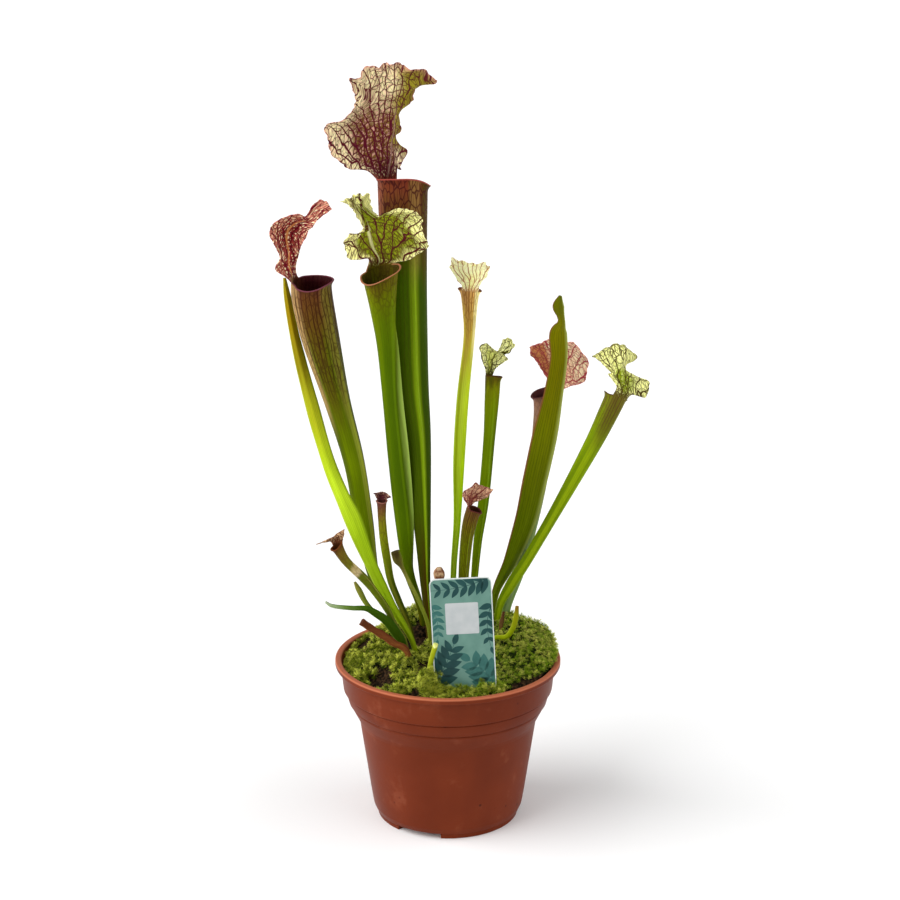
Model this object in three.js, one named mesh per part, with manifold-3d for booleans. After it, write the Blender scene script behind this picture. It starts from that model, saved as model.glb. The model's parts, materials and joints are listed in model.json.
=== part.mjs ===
// A pitcher plant in a nursery pot: hooded pitchers and flat leaves on a rhizome, moss, a plant label.
// Millimetres, +Z up, origin at the middle of the pot's base, and the front of the plant towards -Y.
import * as THREE from 'three';
import { mergeVertices } from 'three/addons/utils/BufferGeometryUtils.js';
import Module from 'manifold-3d';

const wasm = await Module();
wasm.setup();

// Driving dimensions of the pot
const RIM_RADIUS = 60;
const POT_HEIGHT = 88;
const POT_WALL = 1.3;
const FLOOR_THICKNESS = 1.6;
const FOOT_RADIUS = 38;
const FOOT_HEIGHT = 2.6;
const FOOT_STEP = 0.9;
const HEEL_RADIUS = 40.2;
const HEEL_HEIGHT = 6;
const BODY_BASE_RADIUS = 41.4;
const BODY_BASE_HEIGHT = 13;
const BODY_TOP_RADIUS = 47.2;
const SHOULDER_HEIGHT = 53;
const SHOULDER_ROUND = 0.8;
const COLLAR_BASE_RADIUS = 52.2;
const COLLAR_HEIGHT = 62.6;
const COLLAR_TOP_RADIUS = 57.3;
const STEP_RADIUS = 55;
const STEP_HEIGHT = 71.5;
const STEP_SIZE = 0.4;
const RIM_DEPTH = 3.4;
const RIM_ROUND = 0.7;
const RIM_INNER_RADIUS = 56.8;
const POT_SIDES = 36;

// Drain notches round the foot
const NOTCH_COUNT = 3;
const NOTCH_FIRST = -114.6;
const NOTCH_ARC = 38;
const NOTCH_HEIGHT = 3;
const NOTCH_INNER_RADIUS = 29;
const NOTCH_SKIN = 1.2;
const DRAIN_HOLE_RADIUS = 2.5;

// Potting mix, moss and rhizome
const SEAT_GAP = 0.3;
const MIX_TOP = 84;
const MIX_FLAT_RADIUS = 40;
const MIX_EDGE_HEIGHT = 80;
const MOSS_RADIUS = 55.4;
const MOSS_SECTORS = 36;
const MOSS_SHARES = [0.985, 0.93, 0.84, 0.74, 0.64, 0.53, 0.42, 0.3, 0.16];
const MOSS_TUFT = 1.2;
const MOSS_LEVEL_SHARE = 0.72;
const MOSS_HIGH_SIDE = 18;
const MOSS_OVERHANG = 3.4;
const MOSS_EDGE = 86.8;
const MOSS_EDGE_RIGHT = 8;
const MOSS_EDGE_BACK = 5;
const MOSS_EDGE_LEFT = -2.3;
const MOSS_EDGE_INSET = 0.8;
const MOSS_SKIRT_TOP = 2.4;
const MOSS_OVERHANG_TOP = 1.8;
const MOSS_OVERHANG_CLEAR = 0.6;
const LEAF_FOOT = MIX_TOP + SEAT_GAP;
const HOLE_TOP = 108;
const HOLE_SIDES = 6;
const HOLE_GAP = 0.5;

// Plant label
const LABEL_WIDTH = 31.6;
const LABEL_CARD_HEIGHT = 60;
const LABEL_THICKNESS = 0.8;
const LABEL_CORNER = 3.2;
const STAKE_WIDTH = 9;
const STAKE_TIP_WIDTH = 3;
const STAKE_LENGTH = 24;
const LABEL_TOP = [6.2, -41, 146.5];
const LABEL_LEAN = [-2.8, 3, 54.2];

// Leaf walls and blades
const WALL = 0.9;
const HOOD_THICKNESS = 0.8;
const LIP_ROLL = 1.3;
const LIP_ROLL_DEPTH = 3;
const WING_HALF_ANGLE = 11;
const WAVES_FROM = 0.08;
const WAVES_FULL = 0.35;
const WAVES_ON_TOP = 0.28;
const WAVES_SHIFT = 1.9;

const DEGREE = Math.PI / 180;

// Pitchers. A spine point is [x, y, z, radius] and runs from the foot to the mouth.
// A rib is a list of [x, y, z] from the hood's left margin to its right one, measured from the
// middle of the mouth, and the ribs run from the neck to the hood's end.
// front is the way the mouth faces, in degrees to the right of -Y.
// neck is half of the arc of the lip that the hood grows from.
const PITCHERS = {
  tall_pitcher: {
    colour: 0x7d3a34,
    front: 55,
    neck: 38,
    spine: [
      [-9, 4, LEAF_FOOT, 1.9], [-10, 4, 104, 2], [-12, 4, 129, 2.8], [-13.6, 5, 162, 4.7],
      [-16.5, 6, 206, 7.8], [-20.5, 7, 238, 10.6], [-22, 7.5, 280, 11.5], [-22.5, 8, 311, 12.1],
      [-22.7, 8, 341, 12.7],
    ],
    cavity: 95,
    tilt: [0, -0.14],
    dip: { depth: 3.4, at: 35 },
    wing: { at: -30, height: 1.4, from: 0.2, to: 0.93 },
    waves: { count: 7, size: 1.8 },
    rings: 11,
    mesh: { floor: 4, front: 9, across: 14, rows: 18 },
    ribs: [
      [[-18, -1, 5], [-14, 2, 5], [-10, 5, 5], [-6, 9, 5], [-3, 13, 5]],
      [[-28, -6, 7], [-20, -1, 10], [-9, 3, 12], [-5, 8, 11], [-1, 17, 3]],
      [[-34, -10, 15], [-24, -2, 17], [-9, 2, 18], [-5, 8, 17], [0, 19, 11]],
      [[-38, -12, 26], [-26, -3, 25], [-8, 2, 24], [-4, 7, 24], [-3, 15, 19]],
      [[-30, -8, 31], [-21, -1, 32], [-8, 2, 31], [-3, 6, 30], [-2, 12, 28]],
      [[-22, -2, 39], [-16, 1, 39], [-7, 2, 38], [-1, 4, 38], [2, 9, 37]],
      [[-25, -4, 46], [-17, 0, 46], [-6, 2, 46], [3, 2, 46], [9, 6, 45]],
      [[-24, -8, 51], [-15, -3, 56], [-6, -2, 57], [4, -3, 56], [18, 2, 50]],
    ],
  },
  front_pitcher: {
    colour: 0x6f8a1e,
    front: 8,
    neck: 50,
    spine: [
      [-13, 12, LEAF_FOOT, 1.7], [-13.5, 12, 104, 1.8], [-16, 11, 116, 2.1], [-21, 8, 134, 2.8],
      [-23.8, 3, 163, 3.9], [-27, -3, 198, 3.9], [-29.6, -7, 231, 3.7], [-31, -11, 260, 4.8],
      [-32.4, -14, 279, 6.4], [-33.4, -16, 298.5, 9],
    ],
    cavity: 60,
    tilt: [0.2, 0.1],
    dip: { depth: 2, at: -45 },
    wing: { at: 74, height: 3.6, from: 0.34, to: 0.84 },
    waves: { count: 7, size: 1.5 },
    rings: 11,
    mesh: { floor: 3, front: 9, across: 10, rows: 16 },
    ribs: [
      [[-6, 5, 6], [0, 8, 5], [8, 6, 4]],
      [[-15, 9, 5], [-2, 8, 11], [16, 2, 7]],
      [[-18, 8, 11], [-3, 8, 16], [23, -2, 14]],
      [[-16, 9, 16], [-4, 9, 19], [21, -2, 22]],
      [[-11, 10, 17], [-4, 9, 20], [17, 0, 30]],
      [[-9, 10, 20], [-5, 9, 22], [7, 5, 31]],
      [[-11, 8, 26], [-7, 9, 26], [1, 8, 26]],
      [[-15, 6, 32], [-11, 8, 32], [-5, 8, 31]],
      [[-19, 3, 35], [-12, 6, 37], [-5, 5, 38]],
    ],
  },
  left_pitcher: {
    colour: 0x8a3a44,
    front: 85,
    neck: 40,
    spine: [
      [-22, 14, LEAF_FOOT, 1.7], [-24, 14, 100, 1.7], [-32, 13, 112, 1.9], [-39.6, 11, 130, 3.2],
      [-44.2, 8, 161.5, 4.9], [-49, 5, 195, 5.5], [-57, 2, 228, 6.8], [-64.5, -2, 261, 9.6],
      [-68.3, -3.5, 282, 10.4], [-68.8, -4, 291.7, 10.2],
    ],
    cavity: 70,
    tilt: [0, 0],
    dip: { depth: 2.8, at: -90 },
    wing: { at: -30, height: 1.2, from: 0.25, to: 0.9 },
    waves: { count: 5, size: 0.7 },
    rings: 11,
    mesh: { floor: 4, front: 10, across: 8, rows: 14 },
    ribs: [
      [[-12, -5, 3], [-10, 0, 4], [-8, 5, 3]],
      [[-17, -6, 7], [-11, 1, 8], [-8, 5, 8]],
      [[-15, -5, 13], [-11, 2, 14], [-6, 2, 14]],
      [[-18, -7, 20], [-12, 4, 20], [-4, -2, 20]],
      [[-19, -6, 27], [-11, 4, 25], [-1, -4, 25]],
      [[-14, -4, 32.5], [-7, 2, 29], [0.6, -4, 27.4]],
      [[-6, -2, 34.2], [-2.5, 0, 30.5], [1.6, -4, 28.8]],
      [[-1.8, -1, 32.8], [1, -2, 31.4], [3.6, -4, 31.2]],
      [[1.4, -2, 38], [4.5, -2, 36.5], [7.4, -4, 34.4]],
      [[5, -2, 41.3], [8.5, -3, 40.4], [11, -4, 37]],
    ],
  },
  pale_pitcher: {
    colour: 0xd8c878,
    front: 180,
    neck: 60,
    spine: [
      [3, 22, LEAF_FOOT, 1.5], [3, 22, 126, 1.6], [5, 23, 157, 2], [5.9, 23, 190, 3.1],
      [7.8, 23.5, 223, 3.2], [11, 24, 255, 2.9], [11.4, 24, 271, 3.8], [11.4, 24, 281.5, 5.1],
    ],
    cavity: 30,
    tilt: [-0.1, 0.1],
    dip: { depth: 1.5, at: 0 },
    wing: { at: 20, height: 1, from: 0.2, to: 0.9 },
    waves: { count: 5, size: 0.9 },
    rings: 9,
    mesh: { floor: 3, front: 8, across: 8, rows: 9 },
    ribs: [
      [[5, -4, 4], [1, -6, 5], [-4, -4, 3]],
      [[8, -2, 7], [1, -6, 8], [-7, -3, 7]],
      [[10, 2, 11], [0, -4, 11], [-10, 0, 12]],
      [[8, 6, 13], [0, -1, 14], [-9, 4, 16]],
    ],
  },
  slim_green_pitcher: {
    colour: 0x5d7812,
    front: 60,
    neck: 50,
    spine: [
      [13, 20, LEAF_FOOT, 1.6], [13.4, 20, 110, 1.7], [15.8, 19.5, 144, 2.3], [19, 19, 169, 2.9],
      [21.7, 18.5, 202, 3.1], [23, 18, 224, 3.8], [23.6, 18, 237, 4.1],
    ],
    cavity: 34,
    tilt: [0, -0.22],
    dip: { depth: 0.6, at: 0 },
    wing: { at: -40, height: 1, from: 0.2, to: 0.92 },
    waves: { count: 5, size: 0.9 },
    rings: 9,
    mesh: { floor: 3, front: 8, across: 8, rows: 12 },
    ribs: [
      [[-4, -2, 5], [-2, 3, 4], [1, 4, 3]],
      [[-6, -4, 11], [-2, 3, 7], [3, 4, 5]],
      [[-7, -5, 16], [-1, 3, 10], [7, 2, 8]],
      [[-3, -4, 18], [0, 3, 12], [6, 2, 11]],
      [[2, -1, 13], [3, 1, 13], [4, 3, 12]],
      [[4, -2, 17], [6, 1, 16], [8, 2, 12]],
      [[5, -3, 20], [8, 0, 20], [11, -1, 17]],
    ],
  },
  small_brown_pitcher: {
    colour: 0x96604a,
    front: 70,
    neck: 50,
    spine: [
      [8, 12, LEAF_FOOT, 1.5], [8.2, 11, 108, 2], [8.4, 9.5, 130, 2.8], [9.9, 7.5, 150.5, 3.3],
      [11.6, 6, 161, 3.8], [13.6, 5, 168.5, 3.9],
    ],
    cavity: 24,
    tilt: [0.1, 0.2],
    dip: { depth: 1, at: 0 },
    wing: { at: -60, height: 0.8, from: 0.2, to: 0.9 },
    waves: { count: 4, size: 0.7 },
    rings: 8,
    mesh: { floor: 3, front: 8, across: 6, rows: 8 },
    ribs: [
      [[-4, -3, 5], [-2, 2, 4], [1, 4, 3]],
      [[-6, -5, 9], [-1, 3, 6], [6, 3, 5]],
      [[-2, -4, 13], [2, 2, 9], [8, 0, 8]],
      [[1, -3, 15], [5, 1, 12], [10, -1, 11]],
    ],
  },
  red_pitcher: {
    colour: 0xb06a66,
    front: -75,
    neck: 45,
    spine: [
      [30, 30, LEAF_FOOT, 1.7], [32, 30, 104, 2.3], [38.6, 31, 126, 3.4], [43, 32, 148, 4.6],
      [48, 33, 176, 5.4], [51.5, 34, 209, 6], [52.1, 34, 224.5, 6.7],
    ],
    cavity: 55,
    tilt: [0.25, 0.05],
    dip: { depth: 1, at: 0 },
    wing: { at: 40, height: 1.2, from: 0.2, to: 0.9 },
    waves: { count: 5, size: 0.7 },
    rings: 9,
    mesh: { floor: 4, front: 8, across: 8, rows: 11 },
    ribs: [
      [[2, 4, 5], [6, 6, 5], [12, 0, 3]],
      [[-1, 4, 9], [7, 6, 9], [19, -3, 6]],
      [[-4, 2, 15], [6, 4, 14], [21.5, -4, 13.5]],
      [[-8, -1, 20], [5, 2, 20], [20.5, -4, 20]],
      [[-9, -4, 25], [2, 1, 28], [14, -2, 27]],
    ],
  },
  right_pitcher: {
    colour: 0x7f9a2a,
    front: -150,
    neck: 55,
    spine: [
      [26, 20, LEAF_FOOT, 1.4], [27.5, 20, 107, 1.9], [34, 20.5, 121, 3], [42.5, 21, 135, 2.9],
      [54.8, 22, 157, 3.1], [66.5, 22.5, 179, 3.8], [77.8, 23, 201, 4.7], [84.7, 23.5, 216, 5.4],
      [88.6, 24, 224.8, 5.7],
    ],
    cavity: 40,
    tilt: [0, 0],
    dip: { depth: 1.5, at: 0 },
    wing: { at: 10, height: 1, from: 0.2, to: 0.9 },
    waves: { count: 6, size: 0.7 },
    rings: 10,
    mesh: { floor: 3, front: 8, across: 8, rows: 14 },
    ribs: [
      [[8, -4, 2], [4, -6, 4], [0, -4, 6]],
      [[15, -2, 0], [3, -6, 9], [-3, -2, 10]],
      [[17, 0, 6], [2, -6, 12], [-4, 0, 12]],
      [[12, 1, 10], [2, -5, 15], [-3, 1, 13]],
      [[6, 0, 11], [2, -4, 17], [-7, 1, 17]],
      [[5, 1, 16], [1, -3, 21], [-10, 4, 19]],
      [[10, 3, 20], [0, -2, 24], [-12, 7, 20]],
      [[5, 3, 26], [-1, -1, 28], [-7, 4, 24]],
    ],
  },
  old_pitcher: {
    colour: 0x7a5a24,
    front: -15,
    neck: 55,
    spine: [
      [-21, -9, LEAF_FOOT, 1.1], [-22.5, -12, 101.5, 1.1], [-27.5, -13, 110.5, 1.2], [-32.2, -15, 121, 1.8],
      [-38.3, -17, 131, 1.9], [-43.8, -18, 138.5, 2.3], [-52.4, -19.4, 148, 2.3], [-57.2, -20, 156.6, 3.1],
    ],
    cavity: 9,
    tilt: [0.1, 0],
    dip: { depth: 0.8, at: 0 },
    wing: { at: 60, height: 0.7, from: 0.4, to: 0.8 },
    waves: { count: 3, size: 0.5 },
    rings: 9,
    mesh: { floor: 2, front: 6, across: 6, rows: 5 },
    ribs: [
      [[-3, 2, 1.6], [0, 3, 2.2], [2.8, 2, 2.2]],
      [[-6.4, 1, 1.4], [-0.6, 2, 3.6], [3.6, 0.5, 5.2]],
      [[-10.2, 0, 1], [-2.8, 1, 3.8], [4.2, -1, 9.4]],
    ],
  },
  thin_pitcher: {
    colour: 0x7d7a1c,
    front: 20,
    neck: 50,
    spine: [
      [-18, 4, LEAF_FOOT, 1.1], [-19.7, 4, 101, 1.2], [-26.2, 4, 118, 1.8], [-30.4, 4, 129.5, 1.8],
      [-32.4, 4, 141, 1.9], [-33.9, 4, 152, 2], [-34.5, 3, 163, 2.1], [-34.6, 2, 174, 2.5],
    ],
    cavity: 10,
    tilt: [0, 0],
    dip: { depth: 0.5, at: 0 },
    wing: { at: 60, height: 0.6, from: 0.3, to: 0.9 },
    waves: { count: 3, size: 0.4 },
    rings: 8,
    mesh: { floor: 2, front: 6, across: 6, rows: 4 },
    ribs: [
      [[-3, 2, 2], [0, 3, 2], [3, 1, 1]],
      [[-4, 0, 4], [1, 2, 4], [5, 0, 2]],
    ],
  },
};

// Flat leaves. A spine point is [x, y, z, half width], and thickness is half of the blade's.
const BLADES = {
  sword_leaf: {
    colour: 0x9ab21e,
    thickness: 1.3,
    keel: 0.9,
    rings: 15,
    spine: [
      [-16, -8, LEAF_FOOT, 1.3], [-19, -10, 101, 1.5], [-31, -10, 123, 2.7], [-41, -10, 145.5, 3.4],
      [-49, -8, 166.5, 4.7], [-55, -6.5, 180, 3.9], [-62, -3, 197.5, 3.5], [-70.6, 0, 229, 3.5],
      [-77.9, 4, 259.5, 2.6], [-81.6, 7, 280, 1.9], [-83.2, 8, 291, 0.8],
    ],
  },
  broad_leaf: {
    colour: 0x6d740a,
    thickness: 1.6,
    keel: 1.3,
    rings: 22,
    spine: [
      [24, 28, LEAF_FOOT, 1.6], [25.5, 27.8, 112, 2], [34, 26, 133, 3.9], [41.6, 24, 156.5, 5.8],
      [46.2, 22, 179, 6.5], [50.7, 20.5, 202, 6.7], [54.7, 18.5, 224, 5.3], [57.6, 16.5, 246, 4.5],
      [57.1, 15.5, 260, 4.7], [58.6, 15.2, 266, 2.2], [58.3, 15, 269.5, 2], [56.9, 14.4, 275, 3],
      [57.8, 14, 280.5, 0.9],
    ],
  },
  side_leaf: {
    colour: 0x6f8a20,
    thickness: 0.6,
    keel: 0.2,
    rings: 8,
    spine: [
      [-26, -3, LEAF_FOOT, 0.8], [-27, -4, 101, 0.9], [-35.7, -8, 112.5, 1.1], [-42.4, -11, 121.5, 1.3],
      [-46.3, -12, 129.5, 1.5], [-48.5, -12, 134, 0.7],
    ],
  },
  low_leaf: {
    colour: 0x2a5a18,
    thickness: 0.6,
    keel: 0.2,
    rings: 12,
    spine: [
      [-22, -17, LEAF_FOOT, 1.1], [-23.4, -18, 101, 1.9], [-27, -18, 108, 2.6], [-31.7, -19, 115, 2.5],
      [-37.3, -21, 120, 2.1], [-42.3, -23, 123.4, 1.5], [-49.5, -25, 124.4, 1.3],
      [-59, -28, 126.6, 1.1], [-62.8, -29, 129.2, 0.6],
    ],
  },
};

// Dead and young stems. A spine point is [x, y, z, radius].
const STEMS = {
  dead_stalk: {
    colour: 0x78421c,
    rings: 8,
    spine: [
      [-19, -22, LEAF_FOOT, 1.4], [-21.2, -24, 100, 1.5], [-28, -24, 104.7, 1.7], [-33, -24, 108.6, 1.9],
      [-39.3, -25, 113, 1.7], [-44.5, -26, 117.2, 2],
    ],
  },
  dried_stem: {
    colour: 0x829630,
    rings: 10,
    spine: [
      [-9.5, -3, LEAF_FOOT, 1], [-10, -4, 105, 1], [-15.7, -5, 122, 1], [-20, -6, 131.5, 1],
      [-24, -7, 140.5, 1.2], [-26, -7, 144.5, 2.6], [-27.4, -7, 149, 2.4],
    ],
  },
  dry_knob: {
    colour: 0x7b3f2e,
    rings: 8,
    spine: [
      [-2, 1, LEAF_FOOT, 1], [-2.5, 1, 105, 1], [-3.2, 1, 124, 1], [-4.4, 1, 130, 1.8],
      [-4.6, 1, 134.5, 2.9], [-4.4, 1, 137.5, 1.2],
    ],
  },
  cut_shoot: {
    colour: 0xd2dc3c,
    rings: 5,
    spine: [
      [-10.4, -47.6, LEAF_FOOT, 1], [-10, -47.5, 94, 1.1], [-8.6, -47.5, 103.5, 1.2],
      [-6, -47.5, 113.5, 1.3],
    ],
  },
  young_shoot: {
    colour: 0xa0aa0a,
    rings: 9,
    spine: [
      [23, -1, LEAF_FOOT, 1.1], [24, -2, 98, 1.2], [31, -4, 100.5, 1.4], [34.5, -4, 105.5, 1.4],
      [36, -3, 111, 1.4], [36.6, -2, 117, 0.9],
    ],
  },
  dry_stub: {
    colour: 0x5e3a1e,
    rings: 4,
    spine: [[28, 11, LEAF_FOOT, 1], [28.2, 11, 97, 1], [28.8, 11, 103, 1], [30, 11, 109, 0.6]],
  },
};
const STEM_SIDES = 7;
const BLADE_SIDES = 10;

// The rhizome lies level just under the moss: [x, y, z, half width]
const RHIZOME = {
  spine: [
    [-23, -19, 79.3, 5], [-14, -6, 79.3, 8], [-6, 8, 79.3, 8], [8, 16, 79.3, 8], [22, 21, 79.3, 7],
    [29, 25, 79.3, 5],
  ],
  rings: 10,
  half: 5.6,
};

// Moss mounds: [x, y, height, spread]
const MOSS_MOUNDS = [
  [-15, 28, 16, 20],
  [5, 5, 8, 18],
  [38, 28, 13, 16],
  [45, -5, 7, 12],
  [-21, -23, 9, 6],
  [-12, -47, 13, 5],
];

// Waves of the moss's tufts: turn per millimetre across and deep, and where the wave starts
const TUFT_WAVES = [[0.52, 0.3, 0], [-0.2, 0.47, 1], [0.9, -0.8, 0]];

// Vectors as plain lists
const add = (a, b) => a.map((value, k) => value + b[k]);
const minus = (a, b) => a.map((value, k) => value - b[k]);
const times = (a, s) => a.map((value) => value * s);
const dot = (a, b) => a.reduce((sum, value, k) => sum + value * b[k], 0);
const cross = (a, b) => [
  a[1] * b[2] - a[2] * b[1],
  a[2] * b[0] - a[0] * b[2],
  a[0] * b[1] - a[1] * b[0],
];
const unit = (a) => times(a, 1 / Math.hypot(...a));
const between = (low, high, value) => THREE.MathUtils.smoothstep(value, low, high);

// A list made by a rule, and equal steps from one value to another with both ends in
const listOf = (length, make) => Array.from({ length }, (_, i) => make(i));
const evenly = (from, to, count) => listOf(count + 1, (i) => from + ((to - from) * i) / count);

// A smooth curve through a list of points, at u from 0 to 1
function along(points, u) {
  const last = points.length - 1;
  const place = Math.min(Math.max(u, 0), 1) * last;
  const start = Math.min(Math.floor(place), last - 1);
  const s = place - start;
  const b = points[start];
  const c = points[start + 1];
  const a = start > 0 ? points[start - 1] : minus(times(b, 2), c);
  const d = start + 2 <= last ? points[start + 2] : minus(times(c, 2), b);
  return b.map((value, k) => {
    const slope = c[k] - a[k];
    const bend = 2 * a[k] - 5 * value + 4 * c[k] - d[k];
    const turn = 3 * value - a[k] - 3 * c[k] + d[k];
    return 0.5 * (2 * value + slope * s + bend * s * s + turn * s ** 3);
  });
}

// Collects points and faces of one closed body
class Skin {
  constructor() {
    this.points = [];
    this.faces = [];
  }

  point(p) {
    this.points.push(...p);
    return this.points.length / 3 - 1;
  }

  quad(a, b, c, d) {
    this.faces.push(a, b, c, a, c, d);
  }

  // The same quad seen from its other side, cut along the same diagonal
  backQuad(a, b, c, d) {
    this.faces.push(a, c, b, a, d, c);
  }

  // A band between two rings of points that run the same way round
  band(low, high) {
    low.forEach((start, i) => {
      const next = (i + 1) % low.length;
      this.quad(start, low[next], high[next], high[i]);
    });
  }

  fan(ring, middle) {
    const centre = this.point(middle);
    ring.forEach((start, i) => this.faces.push(start, ring[(i + 1) % ring.length], centre));
  }

  geometry() {
    const geometry = new THREE.BufferGeometry();
    geometry.setAttribute('position', new THREE.Float32BufferAttribute(this.points, 3));
    geometry.setIndex(this.faces);
    return geometry;
  }
}

// Solids for joining and cutting
function solid(geometry) {
  const plain = geometry.clone();
  plain.deleteAttribute('normal');
  plain.deleteAttribute('uv');
  const merged = mergeVertices(plain, 1e-4);
  return new wasm.Manifold(new wasm.Mesh({
    numProp: 3,
    vertProperties: new Float32Array(merged.attributes.position.array),
    triVerts: new Uint32Array(merged.index.array),
  }));
}

function geometryOf(body) {
  const mesh = body.getMesh();
  const geometry = new THREE.BufferGeometry();
  geometry.setAttribute('position', new THREE.BufferAttribute(mesh.vertProperties, 3));
  geometry.setIndex(new THREE.BufferAttribute(mesh.triVerts, 1));
  return geometry;
}

function piece(name, geometry, colour, roughness) {
  const material = new THREE.MeshStandardMaterial({ color: colour, roughness, metalness: 0 });
  const mesh = new THREE.Mesh(geometry, material);
  mesh.name = name;
  return mesh;
}

// A lathe about the Z axis from [radius, height] pairs
function turned(profile, sides) {
  const points = profile.map(([radius, height]) => new THREE.Vector2(radius, height));
  return new THREE.LatheGeometry(points, sides).rotateX(Math.PI / 2);
}

// The level direction at an azimuth in degrees, to the right of -Y
const facing = (azimuth) => [Math.sin(azimuth * DEGREE), -Math.cos(azimuth * DEGREE), 0];
const FRONT = facing(0);
const UP = [0, 0, 1];

// Directions across a spine at u: the first is as near as it can be to the wanted one
function crossAxes(spine, u, wanted) {
  const step = 0.01;
  const rise = unit(minus(along(spine, u + step), along(spine, u - step)).slice(0, 3));
  const first = unit(minus(wanted, times(rise, dot(wanted, rise))));
  return { first, second: cross(rise, first), rise };
}

// The place u on a spine that lies a distance below its mouth
function placeBelow(spine, distance) {
  const step = 0.004;
  let u = 1;
  let left = distance;
  while (left > 0 && u > step) {
    left -= Math.hypot(...minus(along(spine, u), along(spine, u - step)).slice(0, 3));
    u -= step;
  }
  return u;
}

// The places on a leaf's spine where its outside has a ring, below a pitcher's rolled lip
function ringPlaces(leaf) {
  const top = leaf.cavity ? placeBelow(leaf.spine, LIP_ROLL_DEPTH) : 1;
  return evenly(0, top, leaf.rings - 1);
}

// The pot: a thin shell with a rolled rim, a deep collar, a shoulder and a foot
function potWall(inset) {
  return [
    [BODY_BASE_RADIUS - inset, BODY_BASE_HEIGHT],
    [BODY_TOP_RADIUS - inset, SHOULDER_HEIGHT],
    [BODY_TOP_RADIUS + SHOULDER_ROUND - inset, SHOULDER_HEIGHT + 3 * SHOULDER_ROUND],
    [COLLAR_BASE_RADIUS - inset, COLLAR_HEIGHT],
    [COLLAR_BASE_RADIUS + STEP_SIZE - inset, COLLAR_HEIGHT + 2 * STEP_SIZE],
    [STEP_RADIUS - inset, STEP_HEIGHT - STEP_SIZE],
    [STEP_RADIUS + STEP_SIZE - inset, STEP_HEIGHT],
    [COLLAR_TOP_RADIUS - inset, POT_HEIGHT - RIM_DEPTH],
  ];
}

// The same wall without its small steps, for the inside
const plainWall = (inset) => potWall(inset).filter((_, i) => i % 2 === 1 || i === 0);

function notchWedge(lowRadius, highRadius, bottom, top) {
  const shape = new THREE.Shape();
  const half = (NOTCH_ARC / 2) * DEGREE;
  shape.absarc(0, 0, highRadius, -half, half, false);
  shape.absarc(0, 0, lowRadius, half, -half, true);
  shape.closePath();
  const settings = { depth: top - bottom, bevelEnabled: false, curveSegments: 6 };
  return new THREE.ExtrudeGeometry(shape, settings).translate(0, 0, bottom);
}

function notchParts(make) {
  return listOf(NOTCH_COUNT, (i) => make().rotateZ((NOTCH_FIRST + (i * 360) / NOTCH_COUNT) * DEGREE));
}

function pot() {
  const outside = [
    [0, 0],
    [FOOT_RADIUS, 0],
    [FOOT_RADIUS, FOOT_HEIGHT],
    [FOOT_RADIUS + FOOT_STEP, FOOT_HEIGHT + FOOT_STEP / 3],
    [HEEL_RADIUS, HEEL_HEIGHT],
    ...potWall(0),
    [RIM_RADIUS, POT_HEIGHT - RIM_DEPTH + RIM_ROUND],
    [RIM_RADIUS, POT_HEIGHT - RIM_ROUND],
    [RIM_RADIUS - RIM_ROUND, POT_HEIGHT],
    [RIM_INNER_RADIUS + RIM_ROUND, POT_HEIGHT],
    [RIM_INNER_RADIUS, POT_HEIGHT - RIM_ROUND],
  ];
  const inside = [
    ...plainWall(POT_WALL).reverse(),
    [HEEL_RADIUS - POT_WALL, HEEL_HEIGHT + POT_WALL / 2],
    [FOOT_RADIUS - 1.5 * POT_WALL, FLOOR_THICKNESS + POT_WALL / 2],
    [FOOT_RADIUS - 2 * POT_WALL, FLOOR_THICKNESS],
    [0, FLOOR_THICKNESS],
  ];
  let body = solid(turned([...outside, ...inside], POT_SIDES));
  const roofTop = NOTCH_HEIGHT + NOTCH_SKIN;
  notchParts(() => notchWedge(NOTCH_INNER_RADIUS - NOTCH_SKIN, FOOT_RADIUS + 0.6, 0.2, roofTop))
    .forEach((roof) => { body = body.add(solid(roof)); });
  notchParts(() => notchWedge(NOTCH_INNER_RADIUS, RIM_RADIUS, -1, NOTCH_HEIGHT))
    .forEach((cut) => { body = body.subtract(solid(cut)); });
  const holeMiddle = (NOTCH_INNER_RADIUS + FOOT_RADIUS) / 2;
  notchParts(() => new THREE.CylinderGeometry(DRAIN_HOLE_RADIUS, DRAIN_HOLE_RADIUS, 3 * roofTop, 12)
    .rotateX(Math.PI / 2)
    .translate(holeMiddle, 0, roofTop))
    .forEach((hole) => { body = body.subtract(solid(hole)); });
  return piece('pot', geometryOf(body), 0x8c4430, 0.5);
}

// Lip of a pitcher: how far each point of the mouth lies above a plain ring
function lipRise(leaf, offset, angle) {
  const slope = leaf.tilt[0] * offset[0] + leaf.tilt[1] * offset[1];
  const nearness = Math.max(0, Math.cos(angle - leaf.dip.at * DEGREE));
  return slope - leaf.dip.depth * nearness ** 3;
}

// Angles of a pitcher's ring, from the neck's left end round the front to its right end and back
function ringAngles(leaf) {
  const half = leaf.neck * DEGREE;
  const start = Math.PI + half - 2 * Math.PI;
  const end = Math.PI - half;
  const wing = leaf.wing.at * DEGREE;
  const beside = WING_HALF_ANGLE * DEGREE;
  const front = evenly(start, end, leaf.mesh.front)
    .filter((angle) => angle === start || Math.abs(angle - wing) > 1.6 * beside)
    .filter((angle) => angle < end - 0.001);
  front.push(wing - beside, wing, wing + beside);
  front.sort((a, b) => a - b);
  const back = listOf(leaf.mesh.across, (i) => end + (2 * half * i) / leaf.mesh.across);
  return { angles: [...front, ...back], frontCount: front.length };
}

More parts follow.
